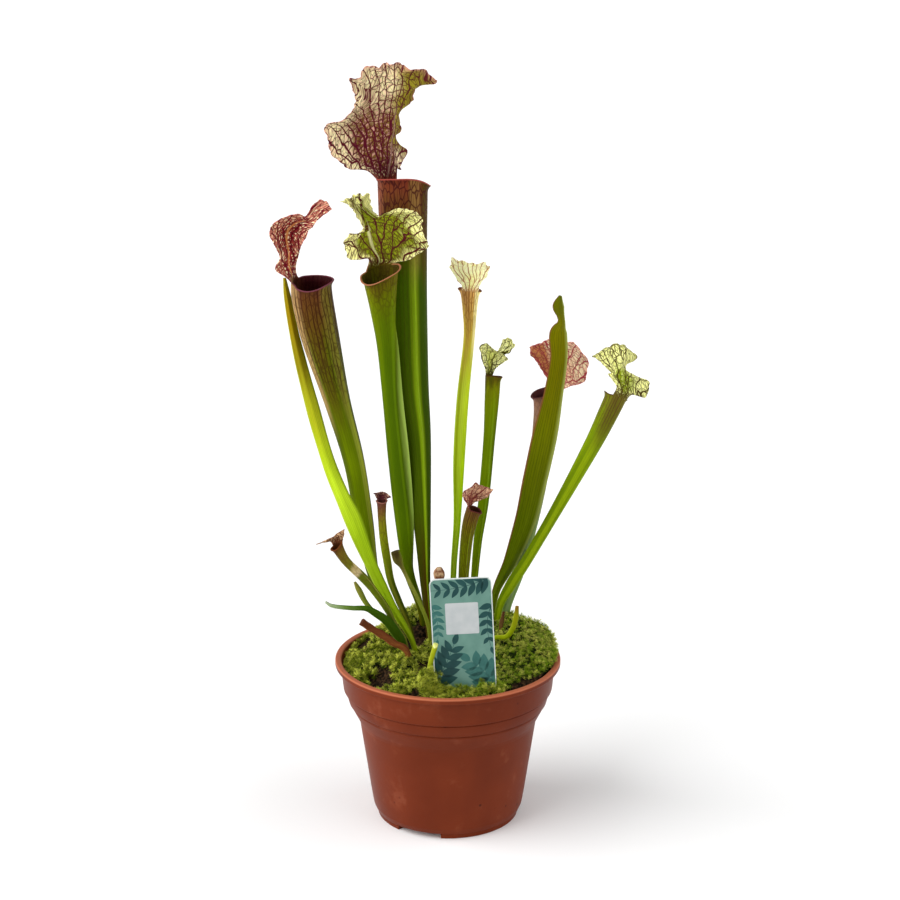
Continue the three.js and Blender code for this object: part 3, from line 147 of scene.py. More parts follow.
# Pitchers: a spine point is (x, y, z, radius) and runs from the foot to the mouth. A rib is a list of
# (x, y, z) from the hood's left margin to its right one, measured from the mouth's middle, and the
# ribs run from the neck to the hood's end. front is the way the mouth faces, in degrees right of -Y.
PITCHERS = {
    "tall_pitcher": {
        "front": 55, "neck": 38, "cavity": 95, "tilt": (0, -0.14), "dip": (3.4, 35),
        "wing": (-30, 1.4, 0.2, 0.93), "waves": (7, 1.8), "grid": (96, 120, 64, 110),
        "spine": [
            (-9, 4, FOOT, 1.9), (-10, 4, 104, 2), (-12, 4, 129, 2.8), (-13.6, 5, 162, 4.7),
            (-16.5, 6, 206, 7.8), (-20.5, 7, 238, 10.6), (-22, 7.5, 280, 11.5), (-22.5, 8, 311, 12.1),
            (-22.7, 8, 341, 12.7),
        ],
        "ribs": [
            [(-18, -1, 5), (-14, 2, 5), (-10, 5, 5), (-6, 9, 5), (-3, 13, 5)],
            [(-28, -6, 7), (-20, -1, 10), (-9, 3, 12), (-5, 8, 11), (-1, 17, 3)],
            [(-34, -10, 15), (-24, -2, 17), (-9, 2, 18), (-5, 8, 17), (0, 19, 11)],
            [(-38, -12, 26), (-26, -3, 25), (-8, 2, 24), (-4, 7, 24), (-3, 15, 19)],
            [(-30, -8, 31), (-21, -1, 32), (-8, 2, 31), (-3, 6, 30), (-2, 12, 28)],
            [(-22, -2, 39), (-16, 1, 39), (-7, 2, 38), (-1, 4, 38), (2, 9, 37)],
            [(-25, -4, 46), (-17, 0, 46), (-6, 2, 46), (3, 2, 46), (9, 6, 45)],
            [(-24, -8, 51), (-15, -3, 56), (-6, -2, 57), (4, -3, 56), (18, 2, 50)],
        ],
    },
    "front_pitcher": {
        "front": 8, "neck": 50, "cavity": 60, "tilt": (0.2, 0.1), "dip": (2, -45),
        "wing": (74, 3.6, 0.34, 0.84), "waves": (7, 1.5), "grid": (72, 100, 56, 100),
        "spine": [
            (-13, 12, FOOT, 1.7), (-13.5, 12, 104, 1.8), (-16, 11, 116, 2.1), (-21, 8, 134, 2.8),
            (-23.8, 3, 163, 3.9), (-27, -3, 198, 3.9), (-29.6, -7, 231, 3.7), (-31, -11, 260, 4.8),
            (-32.4, -14, 279, 6.4), (-33.4, -16, 298.5, 9),
        ],
        "ribs": [
            [(-6, 5, 6), (0, 8, 5), (8, 6, 4)],
            [(-15, 9, 5), (-2, 8, 11), (16, 2, 7)],
            [(-18, 8, 11), (-3, 8, 16), (23, -2, 14)],
            [(-16, 9, 16), (-4, 9, 19), (21, -2, 22)],
            [(-11, 10, 17), (-4, 9, 20), (17, 0, 30)],
            [(-9, 10, 20), (-5, 9, 22), (7, 5, 31)],
            [(-11, 8, 26), (-7, 9, 26), (1, 8, 26)],
            [(-15, 6, 32), (-11, 8, 32), (-5, 8, 31)],
            [(-19, 3, 35), (-12, 6, 37), (-5, 5, 38)],
        ],
    },
    "left_pitcher": {
        "front": 85, "neck": 40, "cavity": 70, "tilt": (0, 0), "dip": (2.8, -90),
        "wing": (-30, 1.2, 0.25, 0.9), "waves": (5, 0.7), "grid": (64, 90, 64, 100),
        "spine": [
            (-22, 14, FOOT, 1.7), (-24, 14, 100, 1.7), (-32, 13, 112, 1.9), (-39.6, 11, 130, 3.2),
            (-44.2, 8, 161.5, 4.9), (-49, 5, 195, 5.5), (-57, 2, 228, 6.8), (-64.5, -2, 261, 9.6),
            (-68.3, -3.5, 282, 10.4), (-68.8, -4, 291.7, 10.2),
        ],
        "ribs": [
            [(-12, -5, 3), (-10, 0, 4), (-8, 5, 3)],
            [(-17, -6, 7), (-11, 1, 8), (-8, 5, 8)],
            [(-15, -5, 13), (-11, 2, 14), (-6, 2, 14)],
            [(-18, -7, 20), (-12, 4, 20), (-4, -2, 20)],
            [(-19, -6, 27), (-11, 4, 25), (-1, -4, 25)],
            [(-14, -4, 32.5), (-7, 2, 29), (0.6, -4, 27.4)],
            [(-6, -2, 34.2), (-2.5, 0, 30.5), (1.6, -4, 28.8)],
            [(-1.8, -1, 32.8), (1, -2, 31.4), (3.6, -4, 31.2)],
            [(1.4, -2, 38), (4.5, -2, 36.5), (7.4, -4, 34.4)],
            [(5, -2, 41.3), (8.5, -3, 40.4), (11, -4, 37)],
        ],
    },
    "pale_pitcher": {
        "front": 180, "neck": 60, "cavity": 30, "tilt": (-0.1, 0.1), "dip": (1.5, 0),
        "wing": (20, 1, 0.2, 0.9), "waves": (5, 0.9), "grid": (48, 44, 32, 80),
        "spine": [
            (3, 22, FOOT, 1.5), (3, 22, 126, 1.6), (5, 23, 157, 2), (5.9, 23, 190, 3.1),
            (7.8, 23.5, 223, 3.2), (11, 24, 255, 2.9), (11.4, 24, 271, 3.8), (11.4, 24, 281.5, 5.1),
        ],
        "ribs": [
            [(5, -4, 4), (1, -6, 5), (-4, -4, 3)],
            [(8, -2, 7), (1, -6, 8), (-7, -3, 7)],
            [(10, 2, 11), (0, -4, 11), (-10, 0, 12)],
            [(8, 6, 13), (0, -1, 14), (-9, 4, 16)],
        ],
    },
    "slim_green_pitcher": {
        "front": 60, "neck": 50, "cavity": 34, "tilt": (0, -0.22), "dip": (0.6, 0),
        "wing": (-40, 1, 0.2, 0.92), "waves": (5, 0.9), "grid": (44, 64, 32, 70),
        "spine": [
            (13, 20, FOOT, 1.6), (13.4, 20, 110, 1.7), (15.8, 19.5, 144, 2.3), (19, 19, 169, 2.9),
            (21.7, 18.5, 202, 3.1), (23, 18, 224, 3.8), (23.6, 18, 237, 4.1),
        ],
        "ribs": [
            [(-4, -2, 5), (-2, 3, 4), (1, 4, 3)],
            [(-6, -4, 11), (-2, 3, 7), (3, 4, 5)],
            [(-7, -5, 16), (-1, 3, 10), (7, 2, 8)],
            [(-3, -4, 18), (0, 3, 12), (6, 2, 11)],
            [(2, -1, 13), (3, 1, 13), (4, 3, 12)],
            [(4, -2, 17), (6, 1, 16), (8, 2, 12)],
            [(5, -3, 20), (8, 0, 20), (11, -1, 17)],
        ],
    },
    "small_brown_pitcher": {
        "front": 84, "neck": 50, "cavity": 24, "tilt": (-0.03, -0.1), "dip": (1, 0),
        "wing": (-60, 0.8, 0.2, 0.9), "waves": (4, 0.7), "grid": (40, 40, 30, 50),
        "spine": [
            (8, 12, FOOT, 1.5), (8.2, 11, 108, 2), (8.4, 9.5, 130, 2.8), (9.9, 7.5, 150.5, 3.3),
            (11.6, 6, 161, 3.8), (13.6, 5, 168.5, 3.9),
        ],
        "ribs": [
            [(-4, -3, 5), (-2, 2, 4), (1, 4, 3)],
            [(-6, -5, 9), (-1, 3, 6), (6, 3, 5)],
            [(-2, -4, 13), (2, 2, 9), (8, 0, 8)],
            [(1, -3, 15), (5, 1, 12), (10, -1, 11)],
        ],
    },
    "red_pitcher": {
        "front": -75, "neck": 45, "cavity": 55, "tilt": (0.25, 0.05), "dip": (1, 0),
        "wing": (40, 1.2, 0.2, 0.9), "waves": (5, 0.7), "grid": (48, 56, 36, 70),
        "spine": [
            (30, 30, FOOT, 1.7), (32, 30, 104, 2.3), (38.6, 31, 126, 3.4), (43, 32, 148, 4.6),
            (48, 33, 176, 5.4), (51.5, 34, 209, 6), (52.1, 34, 224.5, 6.7),
        ],
        "ribs": [
            [(2, 4, 5), (6, 6, 5), (12, 0, 3)],
            [(-1, 4, 9), (7, 6, 9), (19, -3, 6)],
            [(-4, 2, 15), (6, 4, 14), (21.5, -4, 13.5)],
            [(-8, -1, 20), (5, 2, 20), (20.5, -4, 20)],
            [(-9, -4, 25), (2, 1, 28), (14, -2, 27)],
        ],
    },
    "right_pitcher": {
        "front": -150, "neck": 55, "cavity": 40, "tilt": (0, 0), "dip": (1.5, 0),
        "wing": (10, 1, 0.2, 0.9), "waves": (6, 0.7), "grid": (48, 76, 32, 80),
        "spine": [
            (26, 20, FOOT, 1.4), (27.5, 20, 107, 1.9), (34, 20.5, 121, 3), (42.5, 21, 135, 2.9),
            (54.8, 22, 157, 3.1), (66.5, 22.5, 179, 3.8), (77.8, 23, 201, 4.7), (84.7, 23.5, 216, 5.4),
            (88.6, 24, 224.8, 5.7),
        ],
        "ribs": [
            [(8, -4, 2), (4, -6, 4), (0, -4, 6)],
            [(15, -2, 0), (3, -6, 9), (-3, -2, 10)],
            [(17, 0, 6), (2, -6, 12), (-4, 0, 12)],
            [(12, 1, 10), (2, -5, 15), (-3, 1, 13)],
            [(6, 0, 11), (2, -4, 17), (-7, 1, 17)],
            [(5, 1, 16), (1, -3, 21), (-10, 4, 19)],
            [(10, 3, 20), (0, -2, 24), (-12, 7, 20)],
            [(5, 3, 26), (-1, -1, 28), (-7, 4, 24)],
        ],
    },
    "old_pitcher": {
        "front": -15, "neck": 55, "cavity": 9, "tilt": (0.1, 0), "dip": (0.8, 0),
        "wing": (60, 0.7, 0.4, 0.8), "waves": (3, 0.5), "grid": (32, 30, 28, 44),
        "spine": [
            (-21, -9, FOOT, 1.1), (-22.5, -12, 101.5, 1.1), (-27.5, -13, 110.5, 1.2), (-32.2, -15, 121, 1.8),
            (-38.3, -17, 131, 1.9), (-43.8, -18, 138.5, 2.3), (-52.4, -19.4, 148, 2.3),
            (-57.2, -20, 156.6, 3.1),
        ],
        "ribs": [
            [(-3, 2, 1.6), (0, 3, 2.2), (2.8, 2, 2.2)],
            [(-6.4, 1, 1.4), (-0.6, 2, 3.6), (3.6, 0.5, 5.2)],
            [(-10.2, 0, 1), (-2.8, 1, 3.8), (4.2, -1, 9.4)],
        ],
    },
    "thin_pitcher": {
        "front": 20, "neck": 50, "cavity": 10, "tilt": (0, 0), "dip": (0.5, 0),
        "wing": (60, 0.6, 0.3, 0.9), "waves": (3, 0.4), "grid": (28, 24, 26, 44),
        "spine": [
            (-18, 4, FOOT, 1.1), (-19.7, 4, 101, 1.2), (-26.2, 4, 118, 1.8), (-30.4, 4, 129.5, 1.8),
            (-32.4, 4, 141, 1.9), (-33.9, 4, 152, 2), (-34.5, 3, 163, 2.1), (-34.6, 2, 174, 2.5),
        ],
        "ribs": [
            [(-3, 2, 2), (0, 3, 2), (3, 1, 1)],
            [(-4, 0, 4), (1, 2, 4), (5, 0, 2)],
        ],
    },
}

# Flat leaves: a spine point is (x, y, z, half width)
BLADES = {
    "sword_leaf": (1.3, 0.9, [
        (-16, -8, FOOT, 1.3), (-19, -10, 101, 1.5), (-31, -10, 123, 2.7), (-41, -10, 145.5, 3.4),
        (-49, -8, 166.5, 4.7), (-55, -6.5, 180, 3.9), (-62, -3, 197.5, 3.5), (-70.6, 0, 229, 3.5),
        (-77.9, 4, 259.5, 2.6), (-81.6, 7, 280, 1.9), (-83.2, 8, 291, 0.8),
    ]),
    "broad_leaf": (1.6, 1.3, [
        (24, 28, FOOT, 1.6), (25.5, 27.8, 112, 2), (34, 26, 133, 3.9), (41.6, 24, 156.5, 5.8),
        (46.2, 22, 179, 6.5), (50.7, 20.5, 202, 6.7), (54.7, 18.5, 224, 5.3), (57.6, 16.5, 246, 4.5),
        (57.1, 15.5, 260, 4.7), (58.6, 15.2, 266, 2.2), (58.3, 15, 269.5, 2), (56.9, 14.4, 275, 3),
        (57.8, 14, 280.5, 0.9),
    ]),
    "side_leaf": (0.6, 0.2, [
        (-26, -3, FOOT, 0.8), (-27, -4, 101, 0.9), (-35.7, -8, 112.5, 1.1), (-42.4, -11, 121.5, 1.3),
        (-46.3, -12, 129.5, 1.5), (-48.5, -12, 134, 0.7),
    ]),
    "low_leaf": (0.6, 0.2, [
        (-22, -17, FOOT, 1.1), (-23.4, -18, 101, 1.9), (-27, -18, 108, 2.6), (-31.7, -19, 115, 2.5),
        (-37.3, -21, 120, 2.1), (-42.3, -23, 123.4, 1.5), (-49.5, -25, 124.4, 1.3),
        (-59, -28, 126.6, 1.1), (-62.8, -29, 129.2, 0.6),
    ]),
}

# Stems: a spine point is (x, y, z, radius)
STEMS = {
    "dead_stalk": [
        (-19, -22, FOOT, 1.4), (-21.2, -24, 100, 1.5), (-28, -24, 104.7, 1.7), (-33, -24, 108.6, 1.9),
        (-39.3, -25, 113, 1.7), (-44.5, -26, 117.2, 2),
    ],
    "dried_stem": [
        (-9.5, -3, FOOT, 1), (-10, -4, 105, 1), (-15.7, -5, 122, 1), (-20, -6, 131.5, 1),
        (-24, -7, 140.5, 1.2), (-26, -7, 144.5, 2.6), (-27.4, -7, 149, 2.4),
    ],
    "dry_knob": [
        (-2, 1, FOOT, 1), (-2.5, 1, 105, 1), (-3.2, 1, 124, 1), (-4.4, 1, 130, 1.8),
        (-4.6, 1, 134.5, 2.9), (-4.4, 1, 137.5, 1.2),
    ],
    "cut_shoot": [
        (-10.4, -47.6, FOOT, 1), (-10, -47.5, 94, 1.1), (-8.6, -47.5, 103.5, 1.2),
        (-6, -47.5, 113.5, 1.3),
    ],
    "young_shoot": [
        (23, -1, FOOT, 1.1), (24, -2, 98, 1.2), (31, -4, 100.5, 1.4), (34.5, -4, 105.5, 1.4),
        (36, -3, 111, 1.4), (36.6, -2, 117, 0.9),
    ],
    "dry_stub": [(28, 11, FOOT, 1), (28.2, 11, 97, 1), (28.8, 11, 103, 1), (30, 11, 109, 0.6)],
}

# Colours are sRGB bytes. A look of a pitcher has:
# tube: stops along it, from the foot, 0, to the mouth, 1. bands and top_bands: stripes along it, as angle
# from the front, half width, colour, strength; some are the tube's own stripes of colour, and some paint
# light and
# shade on it: painted highlights on lit stripes, painted shade on shaded sides and painted shadow behind
# another
# leaf. tube_veins: lines round it, where their net starts, strength,
# colour. mesh: strength of the lines and of the cells in that net. lip, inside and wing: colours.
# wing_share: strength of the wing's colour, which is paler than the tube partly as a painted highlight where
# the wing catches the light.
# ground: the hood's centre and its cells, and from where to where the one gives way to the other.
# blush, side, ridge, edge, flush: what tints the hood in spots, to one side (from, to, share low down),
# along its middle (place, half width, strength), at its margin and above the neck (as far as).
# fan: veins in half a turn at the neck, and the distances at which they fork. widths: of veins, near and far.
# net: its large and small cells, its strength near the neck and all over. polar: strength of long cells.
# spots_and_glints: pale specks, as far as, strength, colour; near the neck they are painted highlights of the
# glistening hood, and on left_pitcher they are its own cream spots. scallop: depth of the margin's lobes.
USUAL_LOOK = {
    "top_bands": [], "mesh": (0.5, 0.7), "wing_share": 0.75, "side": None, "polar": 1.0, "spots_and_glints": None,
}
LOOKS = {
    "tall_pitcher": {
        "tube": [(0, 78, 34, 16), (0.12, 84, 50, 12), (0.2, 68, 62, 3), (0.32, 68, 88, 0), (0.8, 64, 88, 0),
                 (0.86, 78, 78, 6), (0.91, 100, 70, 26), (0.96, 110, 58, 32), (1, 124, 44, 34)],
        # bands: a painted highlight on the wing's lit stripe, painted shade down the right side, painted
        # shadow of front_pitcher on the left.
        "bands": [(-27, 11, (112, 138, 6), 0.95), (6, 22, (44, 68, 0), 0.8), (-95, 30, (48, 70, 0), 0.4)],
        # The last top band is painted shade on the right side below the mouth.
        "top_bands": [(-135, 24, (160, 92, 68), 0.5), (-24, 13, (150, 112, 62), 0.6),
                      (16, 20, (72, 60, 6), 0.85)],
        "tube_veins": (40, 0.84, 0.95, (62, 20, 18)), "mesh": (0.4, 0.95),
        "lip": (158, 70, 62), "inside": (110, 48, 40), "wing": (130, 160, 26),
        "ground": ((120, 86, 40), (255, 242, 186), 0.34, 0.92), "blush": (0.55, (252, 190, 172)),
        "side": (-0.05, 0.5, 0.0, (150, 138, 38)), "ridge": (0.34, 0.08, 0.7, (160, 126, 110)),
        "edge": (206, 140, 132), "flush": (0.22, (84, 22, 44)), "vein": (86, 16, 34), "halo": 0.06,
        "fan": (12, 13, 26), "widths": (0.58, 0.31), "net": (3.3, 2.2, 1.0, 1.0), "polar": 0.1,
        "scallop": 0.7,
    },
    "front_pitcher": {
        "tube": [(0, 70, 58, 6), (0.12, 92, 96, 4), (0.2, 104, 120, 4), (0.3, 92, 118, 0), (0.46, 72, 96, 0),
                 (0.75, 88, 112, 0), (0.9, 94, 112, 0), (0.96, 102, 106, 4), (1, 100, 82, 12)],
        "bands": [(0, 26, (62, 92, 0), 0.5), (42, 12, (96, 128, 6), 0.5)],
        "top_bands": [(-80, 24, (122, 136, 20), 0.5)],
        "tube_veins": (30, 0.88, 0.8, (60, 40, 8)),
        "lip": (164, 104, 76), "inside": (52, 40, 12), "wing": (158, 184, 84), "wing_share": 0.9,
        "ground": ((118, 130, 14), (255, 252, 164), 0.58, 1.0), "blush": (0.4, (170, 176, 44)),
        "side": (-0.4, -0.8, 1.0, (252, 246, 158)), "ridge": (-0.12, 0.07, 0.7, (206, 204, 140)),
        "edge": (244, 240, 170), "flush": (0.14, (92, 34, 34)), "vein": (74, 22, 24), "halo": 0.12,
        "fan": (9, 14, 26), "widths": (0.5, 0.27), "net": (3.4, 2.1, 0.7, 1.0), "polar": 0.5,
        "scallop": 0.9,
    },
    "left_pitcher": {
        "tube": [(0, 60, 74, 4), (0.25, 88, 112, 0), (0.4, 108, 130, 0), (0.56, 108, 128, 0),
                 (0.7, 94, 108, 2), (0.8, 88, 98, 6), (0.88, 96, 74, 20), (0.95, 100, 58, 30),
                 (1, 106, 52, 42)],
        "bands": [(-38, 11, (140, 150, 46), 0.85), (-5, 20, (54, 66, 2), 0.7), (-140, 24, (58, 68, 2), 0.5)],
        "top_bands": [(-155, 28, (180, 146, 92), 0.8), (-90, 20, (86, 58, 12), 0.5),
                      (-34, 20, (132, 120, 48), 0.6)],
        "tube_veins": (30, 0.68, 0.9, (50, 18, 10)), "mesh": (0.9, 0.5),
        "lip": (112, 58, 72), "inside": (44, 2, 14), "wing": (120, 124, 40),
        "ground": ((172, 56, 58), (244, 166, 140), 0.3, 1.1), "blush": (0.8, (196, 136, 70)),
        "ridge": (-0.05, 0.13, 0.8, (236, 160, 92)), "edge": (196, 112, 100), "flush": (0.2, (112, 24, 36)),
        "vein": (104, 16, 32), "halo": 0.2, "fan": (9, 14, 26), "widths": (0.44, 0.34),
        "net": (3.0, 1.9, 0.8, 1.0), "polar": 0.0, "spots_and_glints": (3.0, 1.0, (255, 232, 190)), "scallop": 0.25,
    },
    "pale_pitcher": {
        "tube": [(0, 112, 140, 2), (0.2, 118, 156, 0), (0.28, 142, 186, 0), (0.38, 164, 214, 2),
                 (0.5, 196, 240, 14), (0.6, 208, 244, 30), (0.75, 224, 246, 54), (0.84, 232, 228, 60),
                 (0.92, 236, 202, 82), (1, 220, 164, 102)],
        "bands": [(180, 20, (196, 216, 66), 0.35), (140, 14, (120, 124, 8), 0.4)],
        # The light top band at -120 degrees is a painted highlight along the tube's right edge.
        "top_bands": [(170, 30, (190, 132, 66), 0.4), (-120, 24, (255, 244, 164), 0.9)],
        "tube_veins": (22, 0.85, 0.95, (118, 66, 22)), "mesh": (0.95, 0.4),
        "lip": (90, 34, 34), "inside": (110, 44, 34), "wing": (200, 216, 90),
        "ground": ((255, 252, 170), (255, 255, 200), 0.1, 0.6), "blush": (0.5, (255, 250, 160)),
        "ridge": (0, 0.01, 0.7, (240, 220, 150)),
        "edge": (250, 246, 190), "flush": (0.2, (214, 170, 120)), "vein": (180, 118, 78), "halo": 0.04,
        "fan": (11, 8, 17), "widths": (0.28, 0.15), "net": (4.6, 3.0, 0.25, 0.4), "scallop": 0.3,
    },
    "slim_green_pitcher": {
        "tube": [(0, 70, 88, 0), (0.28, 112, 134, 0), (0.5, 102, 128, 0), (0.75, 94, 114, 0),
                 (0.9, 116, 132, 0), (0.97, 122, 126, 6), (1, 96, 76, 12)],
        "bands": [(-60, 18, (104, 130, 2), 0.4), (0, 16, (64, 84, 0), 0.5)],
        "tube_veins": (20, 0.9, 0.5, (52, 74, 4)),
        "lip": (76, 44, 24), "inside": (56, 36, 16), "wing": (118, 150, 24),
        "ground": ((226, 232, 96), (255, 255, 176), 0.0, 0.6), "blush": (0.5, (226, 232, 120)),
        "ridge": (0, 0.01, 0.7, (200, 210, 120)),
        "edge": (190, 190, 100), "flush": (0.16, (120, 128, 24)), "vein": (72, 66, 14), "halo": 0.04,
        "fan": (7, 8, 16), "widths": (0.32, 0.24), "net": (2.8, 2.0, 0.25, 1.0), "scallop": 0.5,
    },
    "small_brown_pitcher": {
        "tube": [(0, 92, 88, 2), (0.5, 100, 110, 2), (0.78, 114, 122, 2), (0.9, 116, 100, 14),
                 (1, 118, 74, 40)],
        "bands": [(-84, 14, (70, 52, 14), 0.6), (-44, 12, (144, 136, 40), 0.5)],
        "tube_veins": (24, 0.4, 0.9, (60, 34, 14)), "mesh": (0.9, 0.3),
        "lip": (86, 32, 38), "inside": (54, 18, 20), "wing": (120, 134, 50),
        "ground": ((186, 118, 88), (244, 200, 160), 0.0, 0.8), "blush": (0.5, (214, 150, 110)),
        "ridge": (0, 0.01, 0.7, (200, 150, 130)),
        "edge": (184, 134, 112), "flush": (0.3, (124, 66, 50)), "vein": (116, 46, 44), "halo": 0.1,
        "fan": (7, 8, 16), "widths": (0.4, 0.28), "net": (2.6, 1.6, 0.25, 1.0), "scallop": 0.3,
    },
    "red_pitcher": {
        "tube": [(0, 110, 140, 66), (0.3, 134, 166, 98), (0.6, 142, 156, 92), (0.85, 158, 126, 98),
                 (1, 150, 104, 88)],
        "bands": [(75, 20, (170, 190, 140), 0.3)],
        "tube_veins": (22, 0.7, 0.6, (100, 60, 52)),
        "lip": (72, 32, 40), "inside": (56, 12, 26), "wing": (170, 160, 120),
        "ground": ((255, 206, 164), (255, 238, 196), 0.0, 0.8), "blush": (0.5, (246, 160, 140)),
        "side": (-0.15, -0.45, 1.0, (202, 136, 82)), "ridge": (0, 0.01, 0.7, (200, 150, 130)),
        "edge": (226, 150, 140),
        "flush": (0.12, (142, 52, 58)), "vein": (160, 56, 68), "halo": 0.16, "fan": (9, 13, 26),
        "widths": (0.3, 0.26), "net": (2.6, 1.9, 0.9, 1.0), "polar": 0.2, "scallop": 0.4,
    },
    "right_pitcher": {
        "tube": [(0, 100, 124, 4), (0.4, 126, 152, 2), (0.8, 128, 154, 6), (0.92, 118, 134, 14),
                 (1, 122, 122, 30)],
        "bands": [(150, 18, (152, 174, 14), 0.5), (110, 14, (92, 118, 0), 0.4)],
        "top_bands": [(165, 44, (84, 60, 26), 0.5)],
        "tube_veins": (22, 0.86, 0.8, (84, 52, 30)), "mesh": (1.0, 0.3),
        "lip": (78, 28, 36), "inside": (74, 16, 28), "wing": (150, 180, 60),
        "ground": ((140, 156, 30), (255, 255, 166), 0.15, 0.62), "blush": (0.5, (226, 232, 130)),
        "ridge": (0, 0.01, 0.7, (170, 190, 90)),
        "edge": (190, 186, 100), "flush": (0.2, (96, 84, 36)), "vein": (70, 54, 20), "halo": 0.04,
        "fan": (8, 11, 22), "widths": (0.36, 0.28), "net": (2.9, 2.0, 0.25, 1.0), "scallop": 0.5,
    },
    "old_pitcher": {
        "tube": [(0, 90, 100, 22), (0.4, 84, 98, 20), (0.6, 100, 116, 18), (0.765, 92, 102, 16),
                 (0.785, 206, 184, 138), (0.825, 184, 164, 108), (0.845, 106, 104, 26), (0.94, 104, 84, 26),
                 (1, 84, 36, 18)],
        "bands": [(60, 20, (140, 136, 60), 0.4)],
        "tube_veins": (12, 0.5, 0.5, (76, 52, 24)),
        "lip": (104, 54, 26), "inside": (64, 22, 12), "wing": (150, 140, 70),
        "ground": ((180, 126, 80), (246, 208, 160), 0.0, 0.8), "blush": (0.5, (214, 160, 108)),
        "ridge": (0, 0.01, 0.7, (200, 150, 130)),
        "edge": (146, 94, 62), "flush": (0.3, (102, 50, 28)), "vein": (96, 50, 28), "halo": 0.3,
        "fan": (7, 6, 12), "widths": (0.3, 0.2), "net": (2.6, 1.5, 0.25, 1.0), "scallop": 0.2,
    },
    "thin_pitcher": {
        "tube": [(0, 74, 78, 16), (0.2, 72, 76, 12), (0.45, 74, 90, 6), (0.58, 100, 114, 8),
                 (0.7, 132, 146, 12), (0.8, 150, 158, 18), (0.89, 144, 132, 28), (0.94, 134, 92, 44),
                 (1, 122, 60, 62)],
        "bands": [(-20, 20, (140, 136, 40), 0.4)],
        "tube_veins": (12, 0.6, 0.6, (80, 54, 32)),
        "lip": (150, 96, 84), "inside": (54, 22, 30), "wing": (150, 140, 60),
        "ground": ((134, 76, 60), (232, 190, 156), 0.2, 0.8), "blush": (0.5, (168, 104, 96)),
        "ridge": (0, 0.01, 0.7, (160, 120, 120)),
        "edge": (190, 146, 124), "flush": (0.3, (104, 52, 46)), "vein": (84, 34, 44), "halo": 0.3,
        "fan": (7, 6, 12), "widths": (0.3, 0.2), "net": (2.4, 1.4, 0.25, 1.0), "scallop": 0.2,
    },
}

# Blades and stems: stops from foot to tip, line colour and strength, left edge, right edge, roughness
PLAIN_LOOKS = {
    "sword_leaf": (
        [(0, 112, 118, 12), (0.18, 148, 180, 16), (0.38, 156, 188, 24), (0.48, 184, 212, 40),
         (0.57, 174, 196, 30), (0.67, 170, 174, 28), (0.78, 140, 128, 18), (0.9, 146, 116, 8),
         (1, 146, 128, 10)], (90, 122, 8), 0.4, (184, 196, 84), (92, 112, 10), 0.4),
    "broad_leaf": (
        [(0, 100, 116, 6), (0.2, 92, 110, 0), (0.38, 86, 100, 0), (0.5, 88, 96, 0), (0.62, 102, 108, 0),
         (0.8, 106, 102, 0), (0.9, 114, 110, 0), (1, 88, 94, 2)],
        (66, 76, 0), 0.6, (132, 66, 50), (158, 166, 84), 0.38),
    "side_leaf": (
        [(0, 104, 130, 30), (0.6, 116, 146, 34), (1, 132, 124, 54)],
        (84, 100, 20), 0.4, (130, 150, 50), (86, 110, 20), 0.45),
    "low_leaf": (
        [(0, 54, 74, 2), (0.3, 50, 76, 2), (0.7, 62, 92, 14), (0.84, 108, 136, 60), (0.93, 160, 182, 128),
         (1, 190, 202, 170)], (44, 74, 14), 0.5, (104, 136, 56), (46, 78, 16), 0.4),
    "dead_stalk": (
        [(0, 138, 88, 46), (0.4, 132, 78, 38), (0.8, 110, 60, 30), (1, 84, 44, 26)],
        (70, 36, 20), 0.7, (150, 96, 52), (92, 46, 24), 0.6),
    "dried_stem": (
        [(0, 120, 128, 30), (0.5, 136, 150, 44), (0.75, 156, 156, 66), (0.84, 122, 118, 50),
         (0.92, 96, 90, 38), (1, 58, 46, 20)], (70, 66, 20), 0.7, (160, 170, 70), (104, 116, 26), 0.5),
    "dry_knob": (
        [(0, 120, 92, 40), (0.6, 128, 96, 60), (0.82, 104, 56, 40), (0.9, 128, 78, 52),
         (0.94, 214, 178, 136), (0.97, 118, 68, 46), (1, 222, 190, 150)],
        (84, 44, 32), 0.8, (196, 152, 118), (84, 44, 32), 0.7),
    "cut_shoot": (
        [(0, 108, 120, 14), (0.6, 132, 144, 18), (0.93, 156, 164, 30), (0.95, 232, 236, 150),
         (1, 210, 216, 120)], (100, 112, 12), 0.4, (184, 192, 66), (98, 112, 8), 0.4),
    "young_shoot": (
        [(0, 128, 146, 8), (0.6, 136, 152, 8), (0.88, 142, 142, 16), (1, 132, 84, 32)],
        (104, 122, 6), 0.4, (172, 182, 44), (104, 120, 6), 0.38),
    "dry_stub": (
        [(0, 96, 66, 34), (0.7, 112, 84, 44), (1, 90, 56, 34)],
        (60, 36, 20), 0.7, (130, 100, 60), (76, 48, 26), 0.7),
}


# Curves and directions
def smooth(low, high, value):
    share = np.clip((value - low) / (high - low), 0, 1)
    return share * share * (3 - 2 * share)


def unit(vectors):
    return vectors / np.maximum(np.linalg.norm(vectors, axis=-1, keepdims=True), 1e-9)


def around(radius, azimuth, height):
    """Points round the Z axis."""
    return np.stack(np.broadcast_arrays(radius * np.cos(azimuth), radius * np.sin(azimuth), height), -1)


